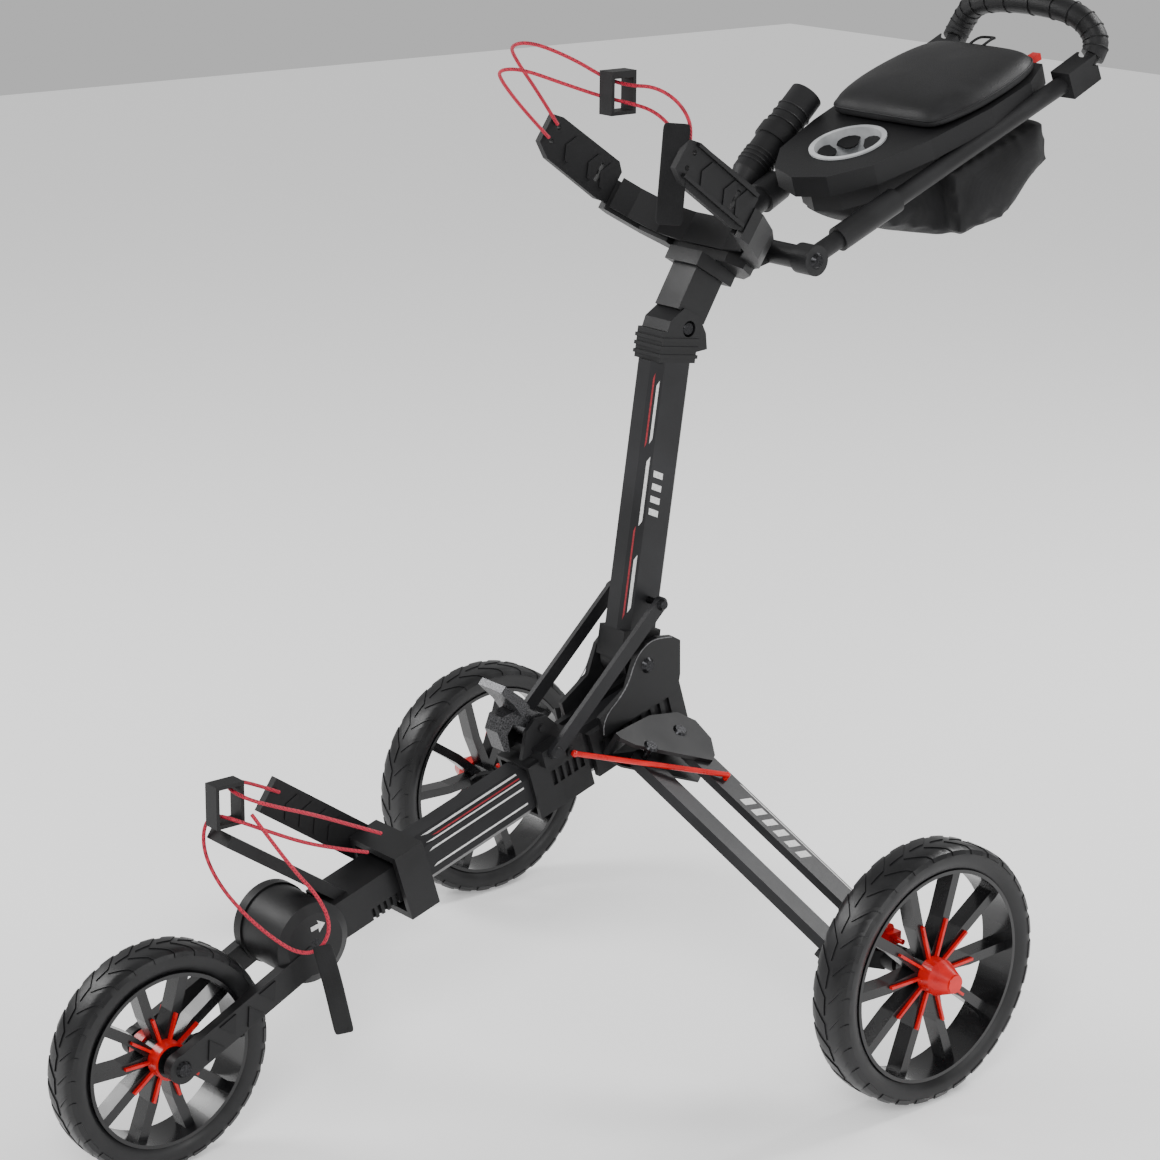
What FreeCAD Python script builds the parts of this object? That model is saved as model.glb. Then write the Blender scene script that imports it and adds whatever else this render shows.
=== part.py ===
import FreeCAD, Part
import math
import os
import Sketcher
from FreeCAD import Placement, Rotation, Vector

# Three-wheel golf push cart, millimetres, +Z up, forward is -Y, the user's right is -X seen
# from the handle.  Every piece is laid out from the rear axle line, and frame_shift then
# centres the whole cart over the origin.

SIZES = [
    # alias, value, what it is
    ("track", 760.0, "distance between the rear wheels' mid planes"),
    ("wheelbase", 720.0, "rear axle to front axle"),
    ("rear_wheel_radius", 146.0, "rear tyre, 11.5 in across"),
    ("front_wheel_radius", 121.0, "front tyre, 9.5 in across"),
    ("tyre_width", 52.0, "tyre section width"),
    ("tyre_height", 27.0, "tyre section, tread to bead"),
    ("rim_wall", 4.0, "rim barrel wall"),
    ("rim_width", 44.0, "rim barrel width"),
    ("hub_radius", 17.0, "wheel hub barrel"),
    ("hub_width", 50.0, "wheel hub barrel length"),
    ("axle_radius", 6.0, "wheel axle"),
    ("running_gap", 0.08, "radial clearance of a running pin"),
    ("seat_gap", 0.3, "clearance between pieces that move past each other"),
    ("spoke_depth", 20.0, "spoke depth along the axle"),
    ("spoke_width", 11.0, "spoke width"),
    ("hub_cap_radius", 20.0, "red hub cap at its skirt"),
    ("hub_cap_height", 26.0, "red hub cap, skirt to disc"),
    ("tube_wide", 44.0, "lower tube across"),
    ("tube_high", 58.0, "lower tube in height"),
    ("tube_wall", 2.5, "wall of the drawn tubes"),
    ("tube_facet", 11.0, "facet at the tubes' corners"),
    ("tube_slope", 17.5, "lower tube's rise towards the rear, degrees"),
    ("tube_long", 372.0, "lower tube's length"),
    ("post_wide", 42.0, "post across"),
    ("post_deep", 58.0, "post front to back"),
    ("post_long", 300.0, "post tube's length"),
    ("post_lean", 8.3, "post's lean to the rear, degrees"),
    ("fold_y", -98.0, "post fold pin, from the rear axle"),
    ("fold_z", 420.0, "post fold pin's height"),
    ("fold_pin_radius", 5.0, "post fold pin"),
    ("plate_thick", 6.0, "side plates of the fold hub"),
    ("link_wide", 16.0, "side link's width"),
    ("link_thick", 6.0, "side link's thickness"),
    ("leg_long", 292.0, "leg bar between its pivots"),
    ("leg_rear_wide", 30.0, "rear leg bar's face"),
    ("leg_rear_thick", 10.0, "rear leg bar's thickness"),
    ("leg_front_wide", 24.0, "front leg bar's face"),
    ("leg_front_thick", 13.0, "front leg bar's thickness"),
    ("leg_bolt_gap", 57.4, "distance between the two leg pivots"),
    ("leg_bolt_radius", 4.0, "leg pivot bolt"),
    ("leg_plate_thick", 5.0, "leg mount plate"),
    ("rod_radius", 3.0, "red fold rod"),
    ("fork_drum_radius", 42.0, "front fold drum"),
    ("fork_drum_wide", 56.0, "front fold drum between the fork discs"),
    ("fork_y", -556.0, "front fold axle, from the rear axle"),
    ("fork_z", 213.0, "front fold axle's height"),
    ("fork_arm_wide", 30.0, "fork arm's height at the drum"),
    ("fork_arm_thick", 12.0, "fork arm's thickness"),
    ("cradle_tilt", 34.5, "cradle arms' rise towards the front, degrees"),
    ("cradle_width", 232.0, "between the upper paddles' outer faces"),
    ("paddle_long", 122.0, "upper paddle's length"),
    ("paddle_high", 46.0, "upper paddle's height"),
    ("handle_pivot_y", 88.0, "handle joint, from the rear axle"),
    ("handle_pivot_z", 860.0, "handle joint's height"),
    ("handle_slope", 24.0, "handle arms' rise towards the rear, degrees"),
    ("handle_reach", 442.0, "handle arm, joint to knuckle"),
    ("handle_tube_radius", 10.5, "handle arm tube"),
    ("grip_radius", 15.0, "padded grip"),
    ("grip_half_width", 108.0, "grip loop, centre to side tube"),
    ("console_slope", 19.0, "console's rise towards the rear, degrees"),
    ("console_long", 338.0, "console, nose to rear edge"),
    ("console_half_width", 104.0, "console's half width"),
    ("console_wall", 3.0, "console shell wall"),
    ("cord_radius", 2.0, "bungee cord"),
]

SIZE = {alias: value for alias, value, note in SIZES}
document = FreeCAD.newDocument("push_cart")
sheet = document.addObject("Spreadsheet::Sheet", "Sizes")
sub_parts = []


def fill_sheet():
    """Writes each driving size to the sheet, with its alias and its note."""
    for row, (alias, value, note) in enumerate(SIZES, start=1):
        sheet.set(f"A{row}", alias)
        sheet.set(f"B{row}", str(value))
        sheet.set(f"C{row}", note)
        sheet.setAlias(f"B{row}", alias)
    document.recompute()


def unit(angle):
    """Direction in the side view that rises by angle towards the rear."""
    return Vector(0, math.cos(math.radians(angle)), math.sin(math.radians(angle)))


# ---- places worked out from the driving sizes -------------------------------------------
HALF_TRACK = SIZE["track"] / 2

FOLD_PIN = Vector(0, SIZE["fold_y"], SIZE["fold_z"])
TUBE_DIR = unit(SIZE["tube_slope"])
TUBE_UP = Vector(0, -TUBE_DIR.z, TUBE_DIR.y)
TUBE_START = Vector(0, -416, 249)
TUBE_END = TUBE_START + TUBE_DIR * SIZE["tube_long"]
POST_DIR = unit(90 - SIZE["post_lean"])
POST_FRONT = Vector(0, -POST_DIR.z, POST_DIR.y)
COLLAR_AT = TUBE_START + TUBE_DIR * 196
LINK_TOP = Vector(0, -84.5, 489.6)
LINK_LOW = Vector(0, -232.4, 349.3)
PLATE_X = SIZE["tube_wide"] / 2 + 8
LINK_X = PLATE_X + SIZE["plate_thick"] + 1
FORK_AT = Vector(0, SIZE["fork_y"], SIZE["fork_z"])
FRONT_AXLE = Vector(0, -SIZE["wheelbase"], SIZE["front_wheel_radius"])
REAR_AXLE = Vector(0, 0, SIZE["rear_wheel_radius"])
HANDLE_PIVOT = Vector(0, SIZE["handle_pivot_y"], SIZE["handle_pivot_z"])
HANDLE_DIR = unit(SIZE["handle_slope"])
HANDLE_END = HANDLE_PIVOT + HANDLE_DIR * SIZE["handle_reach"]
NECK_LOW = Vector(0, -29, 801)
NECK_DIR = unit(59)
CRADLE_AT = Vector(0, 6, 866)
CRADLE_FORWARD = Vector(0, -math.cos(math.radians(SIZE["cradle_tilt"])),
                        math.sin(math.radians(SIZE["cradle_tilt"])))
CRADLE_UP = Vector(0, CRADLE_FORWARD.z, -CRADLE_FORWARD.y)
CONSOLE_NOSE = Vector(0, 140, 918)
CONSOLE_TURN = Rotation(Vector(1, 0, 0), SIZE["console_slope"])

ROD_START = Vector(PLATE_X + 11, -206, 342)
ROD_BALL = 4.0
ROD_OUT = 74.0

# The leg's plane: LEG_OUT runs from the rear pivot to the wheel, LEG_UP is its normal.
LEG_PIVOT = Vector(60, -68, 345)
LEG_OUT = Vector(0.8116, 0.2328, -0.5360)
LEG_BACK_HINT = Vector(0, 0.9925, -0.1219)
LEG_UP = LEG_OUT.cross(LEG_BACK_HINT).normalize()
LEG_BACK = LEG_UP.cross(LEG_OUT)


# ---- helpers ----------------------------------------------------------------------------
def keep(obj, label, at=Vector(0, 0, 0), turn=Rotation()):
    """Names a finished sub-part and puts it in place in the cart's own frame."""
    obj.Label = label
    obj.Placement = Placement(at + FRAME_SHIFT, turn)
    sub_parts.append(obj)
    return obj


def feature(shape, label):
    """A sub-part whose shape is already laid out from the rear axle line."""
    obj = document.addObject("Part::Feature", label)
    obj.Shape = shape.removeSplitter()
    return keep(obj, label)


def origin_plane(body, role):
    return [plane for plane in body.Origin.OriginFeatures if plane.Role == role][0]


def polygon_sketch(body, name, role, corners):
    """A closed outline whose corners are bound to the sheet by expressions."""
    sketch = body.newObject("Sketcher::SketchObject", name)
    sketch.AttachmentSupport = [(origin_plane(body, role), "")]
    sketch.MapMode = "FlatFace"
    count = len(corners)
    ring = [Vector(10, 0, 0) for corner in corners]
    for index in range(count):
        angle = 2 * math.pi * index / count
        ring[index] = Vector(10 * math.cos(angle), 10 * math.sin(angle), 0)
    for index in range(count):
        sketch.addGeometry(Part.LineSegment(ring[index], ring[(index + 1) % count]), False)
    for index in range(count):
        sketch.addConstraint(Sketcher.Constraint("Coincident", index, 2, (index + 1) % count, 1))
    for index, (across, along) in enumerate(corners):
        for kind, rule, start in (("DistanceX", across, ring[index].x),
                                  ("DistanceY", along, ring[index].y)):
            number = sketch.addConstraint(Sketcher.Constraint(kind, -1, 1, index, 1, start))
            sketch.setExpression(f"Constraints[{number}]", str(rule))
    return sketch


def circle_sketch(body, name, role, across, along, radius):
    """A circle bound to the sheet by expressions."""
    sketch = body.newObject("Sketcher::SketchObject", name)
    sketch.AttachmentSupport = [(origin_plane(body, role), "")]
    sketch.MapMode = "FlatFace"
    sketch.addGeometry(Part.Circle(Vector(5, 5, 0), Vector(0, 0, 1), 3), False)
    number = sketch.addConstraint(Sketcher.Constraint("Radius", 0, 3))
    sketch.setExpression(f"Constraints[{number}]", str(radius))
    number = sketch.addConstraint(Sketcher.Constraint("DistanceX", -1, 1, 0, 3, 5))
    sketch.setExpression(f"Constraints[{number}]", str(across))
    number = sketch.addConstraint(Sketcher.Constraint("DistanceY", -1, 1, 0, 3, 5))
    sketch.setExpression(f"Constraints[{number}]", str(along))
    return sketch


def pad(body, sketch, length, midplane=False):
    grown = body.newObject("PartDesign::Pad", sketch.Name + "_pad")
    grown.Profile = sketch
    grown.setExpression("Length", str(length))
    grown.Midplane = midplane
    return grown


def pocket(body, sketch):
    """A cut through everything on both sides of the sketch."""
    cut = body.newObject("PartDesign::Pocket", sketch.Name + "_cut")
    cut.Profile = sketch
    cut.Type = "ThroughAll"
    cut.Midplane = True
    return cut


def revolve(body, sketch, axis_role):
    turned = body.newObject("PartDesign::Revolution", sketch.Name + "_turned")
    turned.Profile = sketch
    turned.ReferenceAxis = (origin_plane(body, axis_role), [""])
    turned.Angle = 360
    return turned


def new_body(label):
    return document.addObject("PartDesign::Body", label)


def prism(points, direction):
    """Solid between a closed outline and its copy moved along direction."""
    return Part.Face(Part.makePolygon(points + [points[0]])).extrude(direction)


def side_plate_shape(outline, x_low, x_high):
    """Prism across the cart from an outline of (y, z) pairs."""
    points = [Vector(x_low, y, z) for y, z in outline]
    return prism(points, Vector(x_high - x_low, 0, 0))


def cylinder(start, end, radius):
    return Part.makeCylinder(radius, (end - start).Length, start, end - start)


def bar(start, end, wide_dir, wide, thick):
    """Rectangular bar between two points: wide along wide_dir, thick across it."""
    along = (end - start).normalize()
    across = along.cross(wide_dir).normalize()
    side = across.cross(along).normalize()
    corner = start - side * (wide / 2) - across * (thick / 2)
    points = [corner, corner + side * wide, corner + side * wide + across * thick,
              corner + across * thick]
    return prism(points, end - start)


def rounded_path(points):
    """Straight runs joined by tangent arcs, each as large as its two runs allow."""
    edges = []
    radii = []
    start = points[0]
    for before, corner, after in zip(points, points[1:], points[2:]):
        inward = (before - corner).normalize()
        outward = (after - corner).normalize()
        turn = math.pi - inward.getAngle(outward)
        trim = 0.45 * min((before - corner).Length, (after - corner).Length)
        radii.append(trim / math.tan(turn / 2))
        enter = corner + inward * trim
        leave = corner + outward * trim
        middle = (inward + outward).normalize()
        rise = radii[-1] / math.cos(turn / 2) - radii[-1]
        through = corner + middle * rise
        edges.append(Part.LineSegment(start, enter).toShape())
        edges.append(Part.Arc(enter, through, leave).toShape())
        start = leave
    edges.append(Part.LineSegment(start, points[-1]).toShape())
    return Part.Wire(edges), radii


def pipe(points, radius):
    """Round bar or cord along a rounded path."""
    wire, radii = rounded_path(points)
    heading = (points[1] - points[0]).normalize()
    ring = Part.Wire([Part.makeCircle(radius, points[0], heading)])
    return wire.makePipeShell([ring], True, False), wire, radii


def grip_points():
    """Route of the grip loop, from the left knuckle over the top to the right one."""
    half = SIZE["grip_half_width"]
    side_up = HANDLE_END + Vector(0, 24, 30)
    top = HANDLE_END + Vector(0, 14, 66)
    return [HANDLE_END + Vector(-half, 0, 0), side_up + Vector(-half - 2, 0, 0),
            top + Vector(-half + 34, 0, 0), top + Vector(half - 34, 0, 0),
            side_up + Vector(half + 2, 0, 0), HANDLE_END + Vector(half, 0, 0)]


def grip_shapes():
    """Steel core of the grip loop and the padded cover round it."""
    core, wire, radii = pipe(grip_points(), SIZE["handle_tube_radius"] - 2)
    sleeve, wire, radii = pipe(grip_points(), SIZE["grip_radius"])
    keep_back = HANDLE_END + Vector(0, 10, 0)
    trim = Part.makeBox(600, 400, 600, Vector(-300, keep_back.y - 400, keep_back.z - 595))
    return core, sleeve.cut(trim).cut(core)


def shift_to_centre():
    """Moves the frame so that the cart's length is centred over the origin."""
    rear_end = GRIP_COVER.optimalBoundingBox(True, False).YMax
    front_end = -SIZE["wheelbase"] - SIZE["front_wheel_radius"]
    return Vector(0, -(rear_end + front_end) / 2, 0)


def mirrored(shape):
    return shape.mirror(Vector(0, 0, 0), Vector(1, 0, 0))


def mirrored_point(point, side):
    return Vector(point.x * side, point.y, point.z)


def both(name, shape):
    """The same piece on both sides, as one node of separate solids."""
    solids = shape.Solids + mirrored(shape).Solids
    obj = document.addObject("Part::Feature", name)
    obj.Shape = Part.makeCompound([solid.removeSplitter() for solid in solids])
    return keep(obj, name)


def pair(name, shape):
    """The same piece for the right (+X) and the left side."""
    feature(shape, name + "_right")
    feature(mirrored(shape), name + "_left")


def leg_point(out, back, up):
    return LEG_PIVOT + LEG_OUT * out + LEG_BACK * back + LEG_UP * up


# ---- wheels -----------------------------------------------------------------------------
def tyre(label, wheel, centre, width):
    """Round-shouldered tyre, turned about the axle."""
    body = new_body(label)
    outer = f"Sizes.{wheel}_wheel_radius"
    inner = f"{outer} - Sizes.tyre_height"
    half = f"{width}/2"
    sketch = polygon_sketch(body, label + "_section", "XY_Plane", [
        (f"-({half}) + 4", inner), (f"{half} - 4", inner), (half, f"{inner} + 7"),
        (half, f"{outer} - 9"), (f"{half} - 7", f"{outer} - 2"), (f"{half} - 15", outer),
        (f"-({half}) + 15", outer), (f"-({half}) + 7", f"{outer} - 2"),
        (f"-({half})", f"{outer} - 9"), (f"-({half})", f"{inner} + 7")])
    revolve(body, sketch, "X_Axis")
    return keep(body, label, centre)


def spoke_shape(rim_radius, angle, side):
    """One boxy spoke: it leaves the hub beside its twin, kinks, then meets the rim."""
    depth = SIZE["spoke_depth"] / 2
    wide = SIZE["spoke_width"] / 2
    foot = SIZE["hub_radius"] - 3
    kink = 0.52 * rim_radius
    splay = math.radians(19) * side
    path = [(foot, math.radians(6) * side), (kink, splay), (rim_radius, splay * 0.92)]
    solids = []
    for (near, turn_a), (far, turn_b) in zip(path, path[1:]):
        start = Vector(0, near * math.cos(turn_a), near * math.sin(turn_a))
        end = Vector(0, far * math.cos(turn_b), far * math.sin(turn_b))
        solids.append(bar(start, end, Vector(1, 0, 0), 2 * depth, 2 * wide))
    knee = Vector(0, kink * math.cos(splay), kink * math.sin(splay))
    solids.append(Part.makeCylinder(wide, 2 * depth, knee - Vector(depth, 0, 0), Vector(1, 0, 0)))
    spoke = solids[0].multiFuse(solids[1:])
    spoke.rotate(Vector(0, 0, 0), Vector(1, 0, 0), angle)
    return spoke


def rim(label, wheel, centre, width_name):
    """Deep rim barrel, hub barrel and five pairs of spokes, moulded in one piece."""
    inner = SIZE[wheel + "_wheel_radius"] - SIZE["tyre_height"]
    half = SIZE[width_name] / 2
    barrel = Part.makeCylinder(inner, 2 * half, Vector(-half, 0, 0), Vector(1, 0, 0))
    hollow = Part.makeCylinder(inner - SIZE["rim_wall"], 2 * half + 2, Vector(-half - 1, 0, 0),
                               Vector(1, 0, 0))
    hub_half = SIZE["hub_width"] / 2
    hub = Part.makeCylinder(SIZE["hub_radius"], 2 * hub_half, Vector(-hub_half, 0, 0),
                            Vector(1, 0, 0))
    spokes = []
    for index in range(5):
        for side in (-1, 1):
            spokes.append(spoke_shape(inner - SIZE["rim_wall"] / 2, 72 * index + 90, side))
    wheel_shape = barrel.cut(hollow).multiFuse([hub] + spokes)
    bore = Part.makeCylinder(SIZE["axle_radius"] + SIZE["running_gap"], 4 * hub_half,
                             Vector(-2 * hub_half, 0, 0), Vector(1, 0, 0))
    obj = document.addObject("Part::Feature", label)
    obj.Shape = wheel_shape.cut(bore).removeSplitter()
    return keep(obj, label, centre)


def hub_cap(label, centre, side):
    """Red cone on the wheel's outer side, with five pairs of thin ribs on the spokes."""
    skirt = SIZE["hub_cap_radius"]
    start = SIZE["hub_width"] / 2
    face = SIZE["spoke_depth"] / 2
    cone = Part.makeCone(skirt, skirt * 0.55, SIZE["hub_cap_height"] - 6, Vector(start, 0, 0),
                         Vector(1, 0, 0))
    sleeve = Part.makeCylinder(skirt, start - face - 0.1, Vector(face + 0.1, 0, 0), Vector(1, 0, 0))
    socket = Part.makeCylinder(SIZE["hub_radius"] + 0.1, start - face + 0.1,
                               Vector(face, 0, 0), Vector(1, 0, 0))
    disc = Part.makeCylinder(skirt * 0.5, 3, Vector(start + SIZE["hub_cap_height"] - 7, 0, 0),
                             Vector(1, 0, 0))
    pieces = [sleeve.cut(socket), disc]
    for index in range(5):
        for turn in (-1, 1):
            rib = bar(Vector(face + 2.1, skirt - 2, 0), Vector(face + 2.1, 62, 0),
                      Vector(1, 0, 0), 4, 3)
            rib.rotate(Vector(0, 0, 0), Vector(1, 0, 0), turn * 17)
            rib.rotate(Vector(0, 0, 0), Vector(1, 0, 0), 72 * index + 90)
            pieces.append(rib)
    shape = cone.multiFuse(pieces)
    room = Part.makeCylinder(SIZE["axle_radius"] + 4, 12, Vector(start - 6, 0, 0), Vector(1, 0, 0))
    shape = shape.cut(room)
    if side < 0:
        shape = mirrored(shape)
    obj = document.addObject("Part::Feature", label)
    obj.Shape = shape.removeSplitter()
    return keep(obj, label, centre)


def wheel_set():
    places = [("front", "front", FRONT_AXLE, "48"),
              ("rear_right", "rear", REAR_AXLE + Vector(HALF_TRACK, 0, 0), "Sizes.tyre_width"),
              ("rear_left", "rear", REAR_AXLE - Vector(HALF_TRACK, 0, 0), "Sizes.tyre_width")]
    for name, wheel, centre, width in places:
        tyre(name + "_tyre", wheel, centre, width)
        rim(name + "_rim", wheel, centre, "rim_width")
    hub_cap("rear_right_hub_cap", places[1][2], 1)
    hub_cap("rear_left_hub_cap", places[2][2], -1)
    front_caps = front_hub_caps()
    keep(front_caps, "front_hub_caps", FRONT_AXLE)


def front_hub_caps():
    """Two low red caps with ribs, one on each side of the front wheel."""
    skirt = SIZE["hub_cap_radius"]
    face = SIZE["spoke_depth"] / 2
    start = SIZE["hub_width"] / 2
    ring = Part.makeCylinder(skirt, start - face - 0.1, Vector(face + 0.1, 0, 0), Vector(1, 0, 0))
    hole = Part.makeCylinder(SIZE["hub_radius"] + 0.1, 60, Vector(0, 0, 0), Vector(1, 0, 0))
    pieces = []
    for index in range(5):
        for turn in (-1, 1):
            rib = bar(Vector(face + 2.1, skirt - 2, 0), Vector(face + 2.1, 48, 0),
                      Vector(1, 0, 0), 4, 3)
            rib.rotate(Vector(0, 0, 0), Vector(1, 0, 0), turn * 17)
            rib.rotate(Vector(0, 0, 0), Vector(1, 0, 0), 72 * index + 90)
            pieces.append(rib)
    cap = ring.multiFuse(pieces).cut(hole).removeSplitter()
    obj = document.addObject("Part::Feature", "front_hub_caps")
    obj.Shape = Part.makeCompound([cap, mirrored(cap)])
    return obj


# ---- lower tube, fold hub and legs ------------------------------------------------------
def tube_section(half_wide, half_high):
    """Corners of a tube with four facets, as expressions."""
    facet = "Sizes.tube_facet"
    return [(half_wide, f"-({half_high}) + {facet}"), (half_wide, f"{half_high} - {facet}"),
            (f"{half_wide} - {facet}", half_high), (f"-({half_wide}) + {facet}", half_high),
            (f"-({half_wide})", f"{half_high} - {facet}"),
            (f"-({half_wide})", f"-({half_high}) + {facet}"),
            (f"-({half_wide}) + {facet}", f"-({half_high})"),
            (f"{half_wide} - {facet}", f"-({half_high})")]


def drawn_tube(label, wide, high, length, start, turn):
    """Faceted aluminium tube, hollow, padded along its own axis."""
    body = new_body(label)
    half_wide = f"Sizes.{wide}/2"
    half_high = f"Sizes.{high}/2"
    outer = polygon_sketch(body, label + "_outer", "XY_Plane", tube_section(half_wide, half_high))
    pad(body, outer, f"Sizes.{length}")
    document.recompute()
    inner = polygon_sketch(body, label + "_bore", "XY_Plane",
                           tube_section(f"{half_wide} - Sizes.tube_wall",
                                        f"{half_high} - Sizes.tube_wall"))
    pocket(body, inner)
    return keep(body, label, start, turn)


def lower_frame():
    drawn_tube("lower_tube", "tube_wide", "tube_high", "tube_long", TUBE_START,
               Rotation(Vector(1, 0, 0), SIZE["tube_slope"] - 90))
    wide = SIZE["tube_wide"] / 2
    high = SIZE["tube_high"] / 2
    # fold hub: a solid casting on the tube's rear end, with comb ribs along both sides
    front = TUBE_END - TUBE_DIR * 112
    rear = TUBE_END + TUBE_DIR * 24
    block = bar(front, rear, TUBE_UP, 2 * high - 4, 2 * PLATE_X)
    tube_room = bar(front - TUBE_DIR, TUBE_END, TUBE_UP, 2 * high + 0.2, 2 * wide + 0.2)
    hub = block.cut(tube_room.common(bar(front - TUBE_DIR, TUBE_END, TUBE_UP, 200,
                                         2 * wide + 0.2)))
    feature(hub.cut(comb_slots(front + TUBE_DIR * 14, 8, 14, 2, 10, PLATE_X)), "fold_hub")


def side_plates():
    outline = [(-62, 447), (-50, 440), (-49, 400), (-52, 383), (-158, 349), (-166, 372),
               (-128, 398), (-116, 432), (-100, 446), (-84, 450)]
    plate = side_plate_shape(outline, PLATE_X, PLATE_X + SIZE["plate_thick"])
    hole = cylinder(FOLD_PIN + Vector(0, 0, 0), FOLD_PIN + Vector(60, 0, 0),
                    SIZE["fold_pin_radius"])
    both("side_plates", plate.cut(hole))


def fold_pin():
    """Pin through both side plates and the post's foot, with a coned head at each end."""
    radius = SIZE["fold_pin_radius"]
    reach = PLATE_X + SIZE["plate_thick"]
    shape = cylinder(FOLD_PIN - Vector(reach, 0, 0), FOLD_PIN + Vector(reach, 0, 0), radius)
    for side in (-1, 1):
        base = FOLD_PIN + Vector(side * reach, 0, 0)
        head = Part.makeCone(9, 6, 4, base, Vector(side, 0, 0))
        shape = shape.fuse(head)
    return shape


def leg_mounts():
    """Plates in the legs' plane, above and below the bars, with a web to the fold hub."""
    gap = SIZE["leg_bolt_gap"]
    thick = SIZE["leg_plate_thick"]
    top = -2.0
    outline = [(-30, 16), (-2, 34), (26, 30), (46, 12), (50, 2), (14, -44), (-10, -74),
               (-26, -84), (-34, -84)]
    points = [leg_point(out, back, top - thick) for out, back in outline]
    plate = prism(points, LEG_UP * thick)
    low = [leg_point(out, back, top - thick - 32) for out, back in outline]
    under = prism(low, LEG_UP * 3)
    wall = prism([leg_point(-34, 20, top - thick - 32), leg_point(-28, 20, top - thick - 32),
                  leg_point(-28, -84, top - thick - 32), leg_point(-34, -84, top - thick - 32)],
                 LEG_UP * (32 + thick))
    shape = plate.multiFuse([under, wall])
    hub_side = Part.makeBox(200, 800, 600, Vector(PLATE_X + SIZE["plate_thick"] + 0.2 - 200,
                                                  -500, 0))
    shape = shape.cut(hub_side)
    for back in (0, -gap):
        hole = cylinder(leg_point(0, back, -60), leg_point(0, back, 10),
                        SIZE["leg_bolt_radius"])
        shape = shape.cut(hole)
    both("leg_mounts", shape)


def bolt(start, end, radius, head_radius, head_height):
    """Plain shank with a low head at its end point."""
    shank = cylinder(start, end, radius)
    along = (end - start).normalize()
    head = Part.makeCone(head_radius, head_radius * 0.75, head_height, end, along)
    return shank.fuse(head)


def leg_bolts():
    bolts = [fold_pin()]
    low = -2.0 - SIZE["leg_plate_thick"] - 32
    for back in (0, -SIZE["leg_bolt_gap"]):
        one = bolt(leg_point(0, back, low), leg_point(0, back, -2.0),
                   SIZE["leg_bolt_radius"], 8.5, 2.5)
        bolts.append(one)
        bolts.append(mirrored(one))
    obj = document.addObject("Part::Feature", "chassis_bolts")
    obj.Shape = Part.makeCompound(bolts)
    keep(obj, "chassis_bolts")


REAR_BAR_UP = -7.4 - SIZE["leg_rear_thick"] / 2
FRONT_BAR_UP = -9.9 - SIZE["leg_rear_thick"] - SIZE["leg_front_thick"] / 2


def leg_bar(back, level, wide, thick, long):
    """Bar with round ends and a hole for each of its two pivots."""
    start = leg_point(0, back, level)
    end = leg_point(long, back, level)
    shape = bar(start, end, LEG_BACK, wide, thick)
    half = LEG_UP * (thick / 2)
    ends = [cylinder(place - half, place + half, wide / 2) for place in (start, end)]
    shape = shape.multiFuse(ends)
    radius = SIZE["leg_bolt_radius"] + SIZE["running_gap"]
    for place in (start, end):
        shape = shape.cut(cylinder(place - half * 2, place + half * 2, radius))
    return shape


def legs():
    long = SIZE["leg_long"]
    rear = leg_bar(0, REAR_BAR_UP, SIZE["leg_rear_wide"], SIZE["leg_rear_thick"], long)
    rod_hole = cylinder(leg_point(ROD_OUT, 0, -40), leg_point(ROD_OUT, 0, 5),
                        SIZE["rod_radius"] + SIZE["running_gap"])
    rear = rear.cut(rod_hole)
    front = leg_bar(-SIZE["leg_bolt_gap"], FRONT_BAR_UP, SIZE["leg_front_wide"],
                    SIZE["leg_front_thick"], long)
    pair("rear_leg_bar", rear)
    pair("front_leg_bar", front)


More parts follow.
